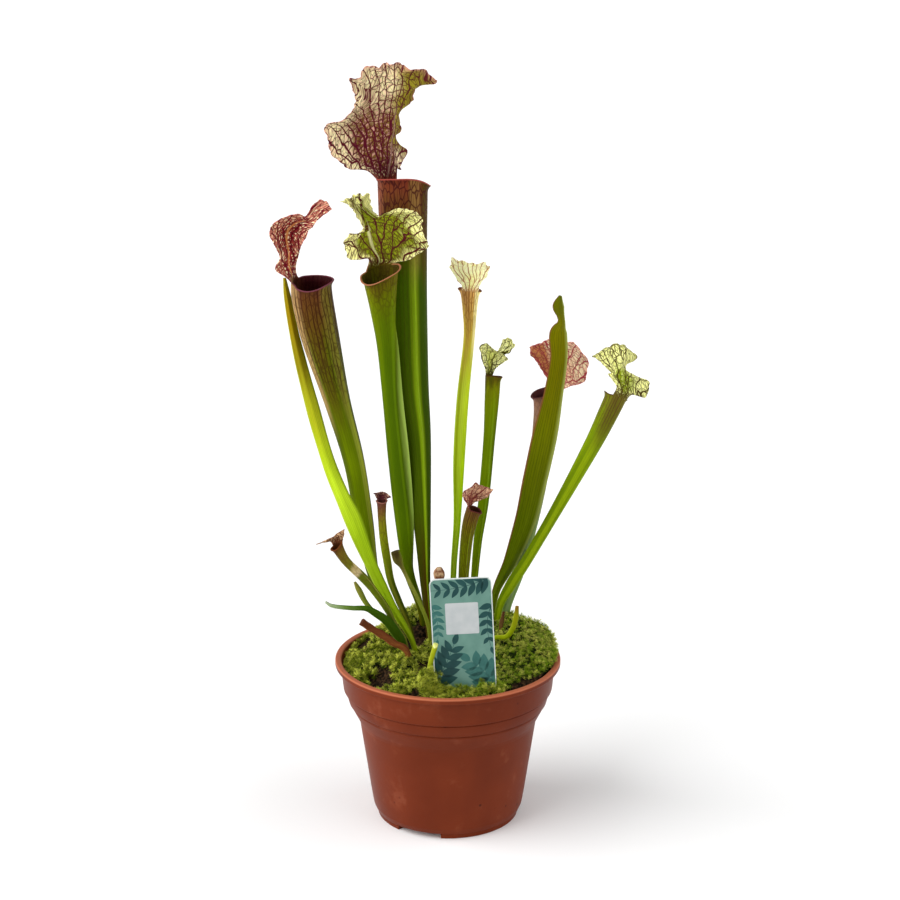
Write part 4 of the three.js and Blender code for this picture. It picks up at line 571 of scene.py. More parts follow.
def along(points, place):
    """A smooth curve through rows of points, at places from 0 to 1."""
    points = np.asarray(points, float)
    last = len(points) - 1
    at = np.clip(np.asarray(place, float), 0, 1) * last
    start = np.minimum(at.astype(int), last - 1)
    s = (at - start).reshape(at.shape + (1,) * (points.ndim - 1))
    padded = np.concatenate([[2 * points[0] - points[1]], points, [2 * points[-1] - points[-2]]])
    a, b, c, d = (padded[start + k] for k in range(4))
    bend = 2 * a - 5 * b + 4 * c - d
    turn = 3 * b - a - 3 * c + d
    return 0.5 * (2 * b + (c - a) * s + bend * s * s + turn * s ** 3)


def facing(azimuth):
    angle = math.radians(azimuth)
    return np.array([math.sin(angle), -math.cos(angle), 0.0])


def cross_axes(spine, place, wanted):
    """Directions across a spine, the first as near as it can be to the wanted one, and along it."""
    step = 0.01
    place = np.asarray(place, float)
    wanted = np.asarray(wanted, float)
    rise = unit(along(spine, place + step)[..., :3] - along(spine, place - step)[..., :3])
    first = unit(wanted - rise * (rise @ wanted)[..., None])
    return first, np.cross(rise, first), rise


def lengths(points, axis):
    """Distance travelled along one axis of a grid of points."""
    steps = np.linalg.norm(np.diff(points, axis=axis), axis=-1)
    start = np.zeros_like(np.take(steps, [0], axis=axis))
    return np.concatenate([start, np.cumsum(steps, axis=axis)], axis=axis)


def place_below(spine, distance):
    """The place at a distance below a spine's end."""
    places = np.linspace(0, 1, 800)
    travelled = lengths(along(spine, places)[:, :3], 0)
    return float(np.interp(travelled[-1] - distance, travelled, places))


def surface_axes(surface):
    """Directions across, up and out of a grid of points."""
    sideways = unit(np.gradient(surface, axis=1))
    upwards = unit(np.gradient(surface, axis=0))
    return sideways, upwards, unit(np.cross(sideways, upwards))


def margin(grid):
    """A grid's values up its right side, back along its top and down its left side."""
    return np.concatenate([grid[1:, -1], grid[-1, -2::-1], grid[-2:0:-1, 0]])


# Meshes
class Skin:
    """Points with named values, and faces, of one piece."""

    def __init__(self):
        self.blocks = []
        self.values = []
        self.faces = []
        self.count = 0

    def add(self, points, **values):
        points = np.asarray(points, float)
        shape = points.shape[:-1]
        numbers = np.arange(self.count, self.count + math.prod(shape)).reshape(shape)
        self.blocks.append(points.reshape(-1, 3))
        self.values.append((numbers.ravel(), {
            name: np.stack([np.broadcast_to(part, shape) for part in parts], -1).reshape(-1, 3)
            for name, parts in values.items()
        }))
        self.count += math.prod(shape)
        return numbers

    def grid(self, numbers, closed=False):
        if closed:
            numbers = np.concatenate([numbers, numbers[:, :1]], axis=1)
        corners = [numbers[:-1, :-1], numbers[:-1, 1:], numbers[1:, 1:], numbers[1:, :-1]]
        self.faces.append(np.stack(corners, -1).reshape(-1, 4))

    def fan(self, ring, middle):
        following = np.roll(ring, -1)
        self.faces.append(np.stack([ring, following, np.full_like(ring, middle)], -1))

    def barrel(self, numbers, ends):
        """Closed rings, with a fan to an end point at each end."""
        self.grid(numbers, closed=True)
        self.fan(numbers[0], ends[0])
        self.fan(numbers[-1], ends[1])

    def mesh(self, name):
        mesh = bpy.data.meshes.new(name)
        points = np.concatenate(self.blocks) * MM
        mesh.vertices.add(len(points))
        mesh.vertices.foreach_set("co", points.ravel())
        corners = np.concatenate([block.ravel() for block in self.faces])
        sizes = np.concatenate([np.full(len(block), block.shape[1]) for block in self.faces])
        mesh.loops.add(len(corners))
        mesh.loops.foreach_set("vertex_index", corners)
        mesh.polygons.add(len(sizes))
        mesh.polygons.foreach_set("loop_start", np.concatenate([[0], np.cumsum(sizes)[:-1]]))
        for key in sorted({key for _, values in self.values for key in values}):
            data = np.zeros((self.count, 3))
            for numbers, values in self.values:
                if key in values:
                    data[numbers] = values[key]
            attribute = mesh.attributes.new(key, "FLOAT_VECTOR", "POINT")
            attribute.data.foreach_set("vector", data.ravel())
        mesh.update(calc_edges=True)
        return mesh

    def piece(self, name, material, slot, node, closed=True, sharp=40):
        mesh = self.mesh(name)
        if closed:
            shape = bmesh.new()
            shape.from_mesh(mesh)
            bmesh.ops.recalc_face_normals(shape, faces=shape.faces)
            shape.to_mesh(mesh)
            shape.free()
        mesh.shade_smooth()
        mesh.set_sharp_from_angle(angle=math.radians(sharp))
        mesh.materials.append(material)
        piece = bpy.data.objects.new(name, mesh)
        bpy.context.scene.collection.objects.link(piece)
        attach(piece, "root")
        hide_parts(node)


# Materials
def srgb(colour):
    share = np.asarray(colour, float) / 255
    linear = np.where(share <= 0.04045, share / 12.92, ((share + 0.055) / 1.055) ** 2.4)
    return (*map(float, linear), 1.0)


class Value:
    """A node's output. Arithmetic with it adds nodes to its paint."""

    def __init__(self, paint, socket):
        self.paint = paint
        self.socket = socket

    def act(self, operation, *others):
        kind = "ShaderNodeMath" if self.socket.type == "VALUE" else "ShaderNodeVectorMath"
        return self.paint.outputs(kind, dict(enumerate([self, *others])), operation=operation)[0]

    def __add__(self, other):
        return self.act("ADD", other)

    def __sub__(self, other):
        return self.act("SUBTRACT", other)

    def __mul__(self, other):
        return self.act("MULTIPLY", other)

    def __truediv__(self, other):
        return self.act("DIVIDE", other)

    def __pow__(self, power):
        return self.act("POWER", power)

    def __abs__(self):
        return self.act("ABSOLUTE")

    def highest(self, other):
        return self.act("MAXIMUM", other)

    def step(self, low, high, to_low=0.0, to_high=1.0):
        """A smooth step between two numbers as this value goes from low to high."""
        inputs = {"Value": self, "From Min": low, "From Max": high, "To Min": to_low, "To Max": to_high}
        return self.paint.outputs("ShaderNodeMapRange", inputs, interpolation_type="SMOOTHSTEP")[0]

    def split(self):
        return self.paint.outputs("ShaderNodeSeparateXYZ", {0: self})

    def apart(self):
        """Distance from the middle of each turn, from 0 to a half."""
        return abs(self.act("FRACT") - 0.5)


class Paint:
    """A node material, built step by step from numbers, colours and other nodes' outputs."""

    def __init__(self, name, roughness=0.5, specular=0.02):
        self.material = bpy.data.materials.new(name)
        self.material.use_nodes = True
        self.tree = self.material.node_tree
        self.shader = self.tree.nodes["Principled BSDF"]
        self.shader.inputs["Roughness"].default_value = roughness
        self.shader.inputs["Specular IOR Level"].default_value = specular

    def join(self, value, socket):
        if isinstance(value, Value):
            self.tree.links.new(value.socket, socket)
        else:
            socket.default_value = value

    def node(self, kind, inputs, **settings):
        node = self.tree.nodes.new(kind)
        for key, value in settings.items():
            setattr(node, key, value)
        for key, value in inputs.items():
            self.join(value, node.inputs[key])
        return node

    def outputs(self, kind, inputs, **settings):
        return [Value(self, socket) for socket in self.node(kind, inputs, **settings).outputs]

    def named(self, name):
        """The values that the mesh keeps under a name."""
        return Value(self, self.node("ShaderNodeAttribute", {}, attribute_name=name).outputs["Vector"])

    def position(self):
        return Value(self, self.node("ShaderNodeNewGeometry", {}).outputs["Position"])

    def combine(self, x, y):
        return self.outputs("ShaderNodeCombineXYZ", {0: x, 1: y})[0]

    def noise(self, vector, scale, detail=2.0, roughness=0.5, output=0):
        inputs = {"Vector": vector, "Scale": scale, "Detail": detail, "Roughness": roughness}
        return self.outputs("ShaderNodeTexNoise", inputs)[output]

    def cells(self, vector, scale, dimensions="2D"):
        """Distance to the nearest border between cells."""
        inputs = {"Vector": vector, "Scale": scale}
        settings = {"feature": "DISTANCE_TO_EDGE", "voronoi_dimensions": dimensions}
        return self.outputs("ShaderNodeTexVoronoi", inputs, **settings)[0]

    def mix(self, share, a, b):
        """A colour between two, each of them sRGB bytes, linear red, green, blue and alpha, or a node's."""
        a, b = (srgb(c) if isinstance(c, tuple) and len(c) == 3 else c for c in (a, b))
        return self.outputs("ShaderNodeMix", {0: share, 6: a, 7: b}, data_type="RGBA")[2]

    def blend(self, share, a, b):
        """A number between two."""
        return self.outputs("ShaderNodeMix", {0: share, 2: a, 3: b}, data_type="FLOAT")[0]

    def ramp(self, share, stops):
        node = self.node("ShaderNodeValToRGB", {0: share})
        places = node.color_ramp.elements
        while len(places) < len(stops):
            places.new(0.5)
        for element, stop in zip(places, stops):
            element.position = stop[0]
        for element, stop in zip(places, stops):
            element.color = srgb(stop[1:])
        return Value(self, node.outputs[0])

    def finish(self, colour, height, depth, roughness=None, translucent=0.0):
        self.join(colour, self.shader.inputs["Base Color"])
        if roughness is not None:
            self.join(roughness, self.shader.inputs["Roughness"])
        inputs = {"Height": height, "Distance": depth * MM, "Strength": 1.0}
        self.join(self.outputs("ShaderNodeBump", inputs)[0], self.shader.inputs["Normal"])
        if translucent:
            self.shader.inputs["Subsurface Weight"].default_value = translucent
            self.shader.inputs["Subsurface Radius"].default_value = (1.0, 0.8, 0.4)
            self.shader.inputs["Subsurface Scale"].default_value = 1.2 * MM
        return self.material


class PitcherPaint(Paint):
    """The skin of one pitcher: veins along its tube, and a forking fan and a net over its hood."""

    long_cells = 4.4
    tube_shade = (0.02, 0.05, 0.0, 1)
    vein_relief = 0.24

    def __init__(self, name, look, mouth_radius):
        super().__init__(name)
        self.look = {**USUAL_LOOK, **look}
        self.mouth_radius = mouth_radius
        self.net = self.named("net")
        self.across, self.upward, self.hood = self.named("place").split()
        self.lip, self.inside, self.wing = self.named("more").split()
        self.wander = self.noise(self.net, 0.13, output=1) - (0.5, 0.5, 0.5)
        self.coarse = self.noise(self.net, 0.09)
        self.fine = self.noise(self.net, 0.7, 3.0)
        self.drift = self.coarse - 0.5

    def fan(self):
        """Veins that fan out from the neck to the whole margin and fork twice."""
        _, self.side, self.up = (self.net + self.wander * (0, 3.2, 3.2)).split()
        raised = self.up + 0.6 * self.mouth_radius
        count, first_fork, second_fork = self.look["fan"]
        self.ray = self.side.act("ARCTAN2", raised)
        self.reach = (self.side * self.side + raised * raised).act("SQRT")
        late = self.reach * (self.drift * 1.2 + 1.0)
        lane = (self.ray * (count / math.pi)).apart()
        lane = abs(lane - late.step(first_fork, first_fork * 1.7, 0.0, 0.25))
        lane = abs(lane - late.step(second_fork, second_fork * 1.5, 0.0, 0.125))
        self.fan_gap = lane * (math.pi / count) * self.reach
        far = self.reach.step(0.5 * self.mouth_radius, 2.4 * second_fork)
        self.width = self.blend(far, *self.look["widths"])
        self.far_out = self.reach.step(0.7 * second_fork, 1.3 * second_fork)
        return (self.fan_gap / self.width).step(0.45, 1.1, 1.0, 0.0)

    def polar_net(self):
        """Long cells between the veins near the neck."""
        out = self.reach.act("LOGARITHM", math.e) * (0.55 * self.long_cells)
        gap = self.cells(self.combine(self.ray * self.long_cells, out), 1.0) * self.reach
        lines = (gap * (1 / self.long_cells) / self.width).step(0.25, 0.8, 0.95, 0.0)
        return lines * self.blend(self.far_out, self.look["polar"], 0.0)

    def cell_net(self):
        """Large cells away from the neck, and small ones in places."""
        large, small, near_share, _ = self.look["net"]
        flat = self.combine(self.side, self.up * 0.85)
        self.large_gap = self.cells(flat, 1 / large) * large
        self.small_gap = self.cells(flat, 1 / small) * small
        large_lines = (self.large_gap / self.width).step(0.28, 0.78, 0.95, 0.0)
        small_lines = (self.small_gap / self.width).step(0.12, 0.62, 0.85, 0.0)
        large_lines = large_lines * self.blend(self.far_out, near_share, 1.0)
        return large_lines.highest(small_lines * self.coarse.step(0.4, 0.66, 1.0, 0.45))

    def hood_veins(self):
        fan = self.fan()
        polar = self.polar_net()
        return fan.highest(self.cell_net().highest(polar) * self.look["net"][3])

    def hood_ground(self):
        """The hood's colour between its veins."""
        look, across, upward = self.look, self.across, self.upward
        centre, cell, low, high = look["ground"]
        outer = abs(across).highest(upward * upward) + self.drift * 0.8
        colour = self.mix(outer.step(low, high), centre, cell)
        share, blush = look["blush"]
        colour = self.mix(self.fine.step(0.46, 0.64, 0.0, share), colour, blush)
        if look["side"]:
            start, end, low_share, side = look["side"]
            swayed = across + self.wander.split()[1] * 0.3
            share = swayed.step(start, end) * upward.step(0.3, 0.42, low_share, 1.0)
            colour = self.mix(share, colour, side)
        nearest = self.fan_gap.act("MINIMUM", self.large_gap)
        colour = self.mix(nearest.step(0.2, 1.5, look["halo"], 0.0), colour, look["vein"])
        edge = (abs(across) ** 30.0).highest(upward ** 60.0)
        colour = self.mix(edge * 0.75, colour, look["edge"])
        reach, flush = look["flush"]
        near = upward + (self.fine - 0.5) * 0.16
        return self.mix(near.step(0.0, reach, 0.92, 0.0), colour, flush)

    def hood_colour(self, veins):
        look = self.look
        colour = self.hood_ground()
        reach, share, light = look["spots_and_glints"] or (0.16, 0.7, look["ground"][1])
        # Pale specks in the small cells: painted highlights near the neck, and the hood's own spots where
        # they reach further.
        specks = self.small_gap.step(0.22, 0.42) * self.fine.step(0.5, 0.56)
        colour = self.mix(specks * self.upward.step(0.2 * reach, reach, share, 0.0), colour, light)
        colour = self.mix(veins, colour, look["vein"])
        place, half, share, ridge = look["ridge"]
        beside = abs(self.across - place).step(0.2 * half, half, share, 0.0)
        return self.mix(beside * self.upward.step(0.5, 0.85, 1.0, 0.0), colour, ridge)

    def tube_veins(self):
        """Veins along the tube, which form a net near the mouth."""
        cosine, sine, self.height = self.named("tube").split()
        self.angle = sine.act("ARCTAN2", cosine)
        self.stretched = self.net * (1, 1, 0.12)
        lines, net_from, strength, _ = self.look["tube_veins"]
        lane = self.angle * (lines / (2 * math.pi)) + self.noise(self.stretched, 0.3) * 1.6
        line = lane.apart().step(0.05, 0.2, 1.0, 0.0)
        swung = self.net + self.wander * (1.5, 1.5, 3)
        cell = self.cells(swung * (1, 1, 0.45), 0.42, "3D")
        lines_share, cells_share = self.look["mesh"]
        mesh = cell.step(0.02, 0.13, cells_share, 0.0).highest(line * lines_share)
        uneven = self.height + self.drift * 0.1
        netted = uneven.step(net_from - 0.05, min(net_from + 0.12, 1.02), 0.0, strength)
        return (line * 0.2).highest(mesh * netted)

    def band(self, centre, half, share, solid):
        """A stripe along the tube, full as far as a share of its half width."""
        turned = (self.angle - math.radians(centre)).act("COSINE")
        outer, inner = (math.cos(math.radians(width * half)) for width in (1.5, solid))
        return turned.step(outer, inner, 0.0, share)

    def tube_colour(self, veins):
        look = self.look
        shade = self.noise(self.stretched, 0.16)
        uneven = self.height + (shade - 0.5) * 0.16
        colour = self.ramp(uneven, look["tube"])
        colour = self.mix(shade.step(0.35, 0.75, 0.0, 0.4), colour, self.tube_shade)
        net_from = look["tube_veins"][1]
        below = uneven.step(net_from - 0.08, net_from + 0.08, 1.0, 0.12)
        above = uneven.step(net_from - 0.08, net_from + 0.06)
        # Stripes of the tube's own colour, and lighter and darker ones that are painted light and painted
        # shade.
        for bands, solid, where in ((look["bands"], 0.6, below), (look["top_bands"], 0.5, above)):
            for centre, half, stripe, share in bands:
                colour = self.mix(self.band(centre, half, share, solid) * where, colour, stripe)
        # The wing's paler colour is partly a painted highlight where it catches the light.
        colour = self.mix(self.wing * look["wing_share"], colour, look["wing"])
        return self.mix(veins, colour, look["tube_veins"][3])

    def make(self):
        hood_veins, tube_veins = self.hood_veins(), self.tube_veins()
        colour = self.mix(self.hood, self.tube_colour(tube_veins), self.hood_colour(hood_veins))
        colour = self.mix(self.inside * 0.85, colour, self.look["inside"])
        colour = self.mix(self.lip * 0.85, colour, self.look["lip"])
        relief = self.blend(self.hood, tube_veins * 0.5, hood_veins) + self.fine * 0.5
        return self.finish(colour, relief, self.vein_relief, self.fine.step(0.2, 0.8, 0.36, 0.52), 0.1)


def plain_paint(name, look):
    stops, line_colour, strength, left, right, roughness = look
    paint = Paint(name)
    net = paint.named("net")
    side, height, _ = paint.named("place").split()
    shade = paint.noise(net * (1, 1, 0.08), 0.5, 3.0)
    fine = paint.noise(net, 0.8, 3.0)
    line = (side * 5.0 + shade * 1.5).apart().step(0.04, 0.24, strength, 0.0)
    colour = paint.ramp(height + (shade - 0.5) * 0.14, stops)
    colour = paint.mix(line, colour, line_colour)
    colour = paint.mix(side.step(-0.97, -0.8, 0.75, 0.0), colour, left)
    colour = paint.mix(side.step(0.6, 0.97, 0.0, 0.75), colour, right)
    relief = line * 0.6 + fine * 0.6
    return paint.finish(colour, relief, 0.16, fine.step(0.25, 0.75, roughness - 0.05, roughness + 0.1), 0.08)


def pot_paint():
    paint = Paint("pot_plastic", specular=0.07)
    place = paint.position()
    broad = paint.noise(place, 22, 3.0)
    colour = paint.mix(broad.step(0.3, 0.72), (98, 38, 17), (112, 46, 22))
    streak = paint.noise(place * (1, 1, 0.1), 60)
    colour = paint.mix(streak.step(0.45, 0.75, 0.0, 0.35), colour, (92, 36, 18))
    dust = paint.noise(place, 48, 4.0, 0.65)
    colour = paint.mix(dust.step(0.58, 0.75, 0.0, 0.3), colour, (146, 80, 56))
    speck = paint.outputs("ShaderNodeTexVoronoi", {"Vector": place, "Scale": 110.0})[0]
    dark = speck.step(0.05, 0.12, 1.0, 0.0) * paint.noise(place, 26).step(0.56, 0.62)
    colour = paint.mix(dark * 0.8, colour, (60, 26, 16))
    # A painted highlight: a lighter line along the top edge of the rim.
    above = place.split()[2] * (1 / MM) - POT_HEIGHT
    rim = above.step(-1.2, -0.4) * above.step(-0.2, 0.2, 1.0, 0.6)
    colour = paint.mix(rim * 0.6, colour, (206, 122, 88))
    relief = paint.noise(place, 900) + broad * 2.0
    return paint.finish(colour, relief, 0.05, broad.step(0.3, 0.7, 0.36, 0.5))


def moss_ground_paint():
    paint = Paint("moss_ground", 0.9)
    place = paint.position()
    bare = paint.named("place").split()[0]
    grains = paint.noise(place, 700, 3.0)
    patch = paint.noise(place, 120, 3.0)
    soil = paint.mix(grains.step(0.4, 0.7), (22, 17, 12), (74, 54, 36))
    # The green under the sprigs is very dark: partly the moss's own darker under-layer, partly painted shade
    # deep in the carpet.
    green = paint.mix(grains.step(0.35, 0.7), (14, 20, 6), (40, 54, 12))
    share = (bare + (patch - 0.5) * 1.2).step(0.25, 0.6)
    return paint.finish(paint.mix(share, green, soil), grains, 0.8)


def sprig_paint():
    paint = Paint("moss_sprigs", 0.62)
    tone, far, loose = paint.named("place").split()
    patch = paint.noise(paint.position(), 55, 3.0)
    light = (tone + (patch - 0.5)).step(0.2, 0.9)
    left = paint.mix(light, (98, 116, 16), (240, 246, 84))
    right = paint.mix(light, (142, 178, 28), (252, 255, 104))
    tips = paint.mix(loose, right, left)
    # Each leaflet darkens towards its root: painted shade where the leaflets crowd at the middle of the
    # sprig.
    colour = paint.mix(far.step(0.0, 0.8), paint.mix(0.8, tips, (20, 34, 4)), tips)
    return paint.finish(colour, patch, 0.05, translucent=0.1)


def card_paint(name, colour, second, roughness=0.32):
    paint = Paint(name, specular=0.2)
    place = paint.position()
    mottle = paint.noise(place, 160, 3.0)
    shade = paint.mix(mottle.step(0.3, 0.7), colour, second)
    rough = mottle.step(0.3, 0.7, roughness - 0.04, roughness + 0.08)
    return paint.finish(shade, paint.noise(place, 1500), 0.02, rough)


def ground_paint(name, dark, light, scale):
    paint = Paint(name, 0.95)
    grains = paint.noise(paint.position(), scale, 4.0)
    return paint.finish(paint.mix(grains.step(0.35, 0.7), dark, light), grains, 0.6)


# Pitchers
class PitcherSkin(Skin):
    """A hollow tube with a rolled lip, and a waved hood that grows out of the back of the lip."""

    def __init__(self, leaf, scallop):
        super().__init__()
        self.leaf = leaf
        self.spine = leaf["spine"]
        self.scallop = scallop
        self.columns, self.rows, self.front_count, self.ring_count = leaf["grid"]
        self.neck = math.radians(leaf["neck"])
        self.mouth_radius = self.spine[-1][3]
        self.angles, self.lip_count = self.ring_angles()
        self.tube()
        self.hood()
        self.rim()

    def ring_angles(self):
        """Angles of a ring, from the neck's left end round the front to its right end and back."""
        start, end = self.neck - math.pi, math.pi - self.neck
        wing = math.radians(self.leaf["wing"][0])
        ridge = wing + np.array(WING_STEPS)
        front = np.linspace(start, end, self.front_count)
        front = front[(np.abs(front - wing) > 0.21) | (front == start)]
        front = np.sort(np.concatenate([front, ridge[(ridge > start + 0.02) & (ridge < end - 0.02)]]))
        back = end + 2 * self.neck * np.arange(1, self.columns) / self.columns
        return np.concatenate([front, back]), len(front)

    def front_share(self):
        """1 round the front of the lip, falling to 0 at the neck."""
        wrapped = (self.angles + math.pi) % (2 * math.pi) - math.pi
        return smooth(0, 0.4, (math.pi - self.neck) - np.abs(wrapped))

    def rings(self, places, inset, flare):
        """Rings of a tube, inset from its outside, with its lip's rise and dip and its front wing."""
        leaf, angles = self.leaf, self.angles
        at = along(self.spine, places)
        first, second, rise = cross_axes(self.spine, places, facing(leaf["front"]))
        wing_at, height, start, end = leaf["wing"]
        share = np.clip((places - start) / (end - start), 0, 1)
        nearness = np.exp(-((angles - math.radians(wing_at)) / WING_SPREAD) ** 2)
        wing = np.sin(math.pi * share)[:, None] * nearness
        rolled = flare[:, None] * self.front_share()
        radius = at[:, 3:4] - inset + wing * (0 if inset else height) + rolled
        offset = first[:, None] * (radius * np.cos(angles))[..., None]
        offset = offset + second[:, None] * (radius * np.sin(angles))[..., None]
        depth, dip_at = leaf["dip"]
        dip = depth * np.maximum(0, np.cos(angles - math.radians(dip_at))) ** 3
        slope = leaf["tilt"][0] * offset[..., 0] + leaf["tilt"][1] * offset[..., 1]
        lift = smooth(0.8, 1, places)[:, None] ** 2 * (slope - dip)
        return at[:, None, :3] + offset + rise[:, None] * lift[..., None], wing

    def tube(self):
        """The tube's outside and inside, which end in a foot and a floor."""
        angles = self.angles
        roll = min(LIP_ROLL, 0.2 * self.mouth_radius)
        lip_from = place_below(self.spine, LIP_ROLL_DEPTH)
        floor_at = place_below(self.spine, self.leaf["cavity"])
        outer_lip = np.linspace(lip_from, 1, LIP_RINGS)[1:]
        cavity = np.linspace(lip_from, floor_at, CAVITY_RINGS)[1:]
        outside = np.concatenate([np.linspace(0, lip_from, self.ring_count), outer_lip])
        inside = np.concatenate([np.linspace(1, lip_from, INNER_LIP_RINGS), cavity])
        travelled = lengths(along(self.spine, outside)[:, :3], 0)
        length = travelled[-1]
        walls = []
        for places, inset in ((outside, 0), (inside, WALL)):
            flare = roll * np.clip((places - lip_from) / (1 - lip_from), 0, 1) ** 2
            points, wing = self.rings(places, inset, flare)
            radius = along(self.spine, places)[:, 3:4]
            far = np.interp(places, outside, travelled)[:, None]
            more = (0, self.front_share() * 0.4 + 0.6, 0) if inset else (0, 0, wing)
            numbers = self.add(points, net=(radius * np.cos(angles), radius * np.sin(angles), far - length),
                               tube=(np.cos(angles), np.sin(angles), far / length), more=more)
            self.grid(numbers, closed=True)
            walls.append((points, numbers))
        (outer, self.outer_numbers), (inner, self.inner_numbers) = walls
        foot = self.add([self.spine[0][:3]], tube=(1, 0, 0))
        floor = self.add([along(self.spine, floor_at)[:3]], tube=(1, 0, 0.5), more=(0, 1, 0))
        self.fan(self.outer_numbers[0], foot[0])
        self.fan(self.inner_numbers[-1], floor[0])
        self.column = (len(angles) - np.arange(self.columns + 1)) % len(angles)
        self.lip = (outer[-1][self.column] + inner[0][self.column]) / 2

    def hood_surface(self, t, v):
        """The hood before it is waved, from the lip through the ribs to its end."""
        ribs = np.array(self.leaf["ribs"], float) + self.spine[-1][:3]
        base = along(self.lip, np.linspace(0, 1, ribs.shape[1]))
        across = np.stack([along(row, (t + 1) / 2) for row in [base, *ribs]])
        fade = np.maximum(0, 1 - 3 * v)[:, None, None] ** 2
        return along(across, v) + (self.lip - across[0]) * fade

    def near_edge(self, side_power, top_power):
        side = np.abs(self.t) ** side_power * smooth(0.08, 0.35, self.v)
        return np.maximum(side, self.v ** top_power)

    def waved(self, surface):
        """The hood's middle surface, with broad waves, ripples, dimples and lobes, and its way out."""
        t, v, near_edge = self.t, self.v, self.near_edge
        sideways, upwards, normal = surface_axes(surface)
        waves, size = self.leaf["waves"]
        reach = lengths(surface, 1)
        upward = lengths(surface, 0)
        lateral = reach - reach[:, self.columns // 2: self.columns // 2 + 1]
        turns = waves * (0.72 * v + 0.28 * (1 - np.abs(t)) * v ** 3)
        phase = 2 * math.pi * turns + 1.9 * smooth(-0.2, 0.2, t)
        room = size * np.clip(reach[:, -1:] / 26, 0.3, 1)
        broad = room * near_edge(4, 8)
        margin_length = (upward[-1, 0] + upward[-1, -1]) / 2
        left_far = upward[:, :1] / upward[-1, 0] * margin_length
        right_far = upward[:, -1:] / upward[-1, -1] * margin_length
        far = np.where(t < 0, left_far, right_far) + (1 - np.abs(t)) * reach[-1, -1] / 2 * v ** 3
        ripple = 2 * math.pi / 7 * far + 0.7 * np.sin(3 * phase)
        small = 0.3 * room * near_edge(9, 16) * (0.65 + 0.35 * np.sin(0.37 * ripple + 1))
        lobes = np.abs(np.sin(math.pi / LOBE_WIDTH * far + 0.5 * np.sin(0.31 * far)))
        dimple = 0.12 * smooth(0.1, 0.3, v) * np.sin(1.3 * lateral + np.sin(0.9 * upward))
        dimple = dimple * np.sin(1.2 * upward + np.sin(lateral))
        lift = broad * np.sin(phase) + small * np.sin(ripple) + dimple
        out = 0.4 * broad * np.cos(phase) + self.scallop * near_edge(9, 18) * (lobes - 0.4)
        outwards = unit(sideways * t[..., None] + upwards * (v ** 8)[..., None])
        self.lateral, self.upward, self.outwards = lateral, upward, outwards
        return surface + normal * lift[..., None] + outwards * out[..., None]

    def hood(self):
        """The hood's two faces, whose first rows are the lip's own points."""
        t = np.linspace(-1, 1, self.columns + 1)
        v = np.linspace(0, 1, self.rows + 1)
        self.t, self.v = np.meshgrid(t, v)
        middle = self.waved(self.hood_surface(t, v))
        normal = surface_axes(middle)[2]
        half = (HOOD_THICKNESS / 2) * (1 - 0.35 * self.near_edge(3, 5))
        turned = self.neck * self.t
        back = -self.mouth_radius * np.cos(turned * np.clip(1 - 4 * self.v, 0, 1))
        values = {
            "net": (back[1:], self.lateral[1:], self.upward[1:]),
            "tube": (-np.cos(turned[1:]), np.sin(turned[1:]), 1),
            "place": (self.t[1:], self.v[1:], smooth(0, 0.1, self.v[1:])),
        }
        self.hood_faces = []
        for sign, ring in ((1, self.inner_numbers[0]), (-1, self.outer_numbers[-1])):
            points = middle + sign * normal * half[..., None]
            numbers = np.concatenate([ring[self.column][None], self.add(points[1:], **values)])
            self.grid(numbers)
            self.hood_faces.append(numbers)

    def trail(self, lip, grid):
        """Values round the front of the lip, and then round the hood's margin."""
        return np.concatenate([np.broadcast_to(lip, (self.lip_count, *grid.shape[2:])), margin(grid)])

    def rim(self):
        """The lip's roll round the front and the hood's edge, as one closed strip."""
        front = self.angles[:self.lip_count]
        inside = self.trail(self.inner_numbers[0][:self.lip_count], self.hood_faces[0])
        outside = self.trail(self.outer_numbers[-1][:self.lip_count], self.hood_faces[1])
        points = np.concatenate(self.blocks)
        rise = cross_axes(self.spine, np.array([1.0]), facing(self.leaf["front"]))[2][0]
        up = self.trail(rise, self.outwards)
        on_lip = self.trail(self.front_share()[:self.lip_count], np.zeros_like(self.t))
        weight = on_lip[:, None]
        across = points[outside] - points[inside]
        centre = (points[outside] + points[inside]) / 2
        thick = np.linalg.norm(across, axis=-1, keepdims=True) / 2
        across = unit(across)
        bead = np.clip(0.04 * self.mouth_radius, 0.36, 0.55)
        radius = thick * (1 - weight) + bead * weight
        low = math.radians(-50) * weight
        high = math.pi * (1 - weight) + math.radians(215) * weight
        turn = low + (high - low) * np.linspace(0, 1, LIP_ROLL_STEPS)[1:-1, None, None]
        roll = across * radius * np.cos(turn) + up * radius * np.sin(turn)
        strip = centre + roll + across * (0.25 * weight)
        t, v = self.trail(0, self.t), self.trail(0, self.v)
        hood = self.trail(0, np.ones_like(self.t)) * smooth(0, 0.1, v)
        lip = np.maximum(on_lip, 0.8 * (1 - smooth(0, 0.1, v)) * (1 - smooth(0, 0.2, v)))
        net = (
            self.trail(self.mouth_radius * np.cos(front), np.full_like(self.t, -self.mouth_radius)),
            self.trail(self.mouth_radius * np.sin(front), self.lateral),
            self.trail(0, self.upward),
        )
        numbers = self.add(strip, net=net, place=(t, v, hood), tube=(1, 0, 1), more=(lip, 0, 0))
        self.grid(np.concatenate([outside[None], numbers, inside[None]]), closed=True)


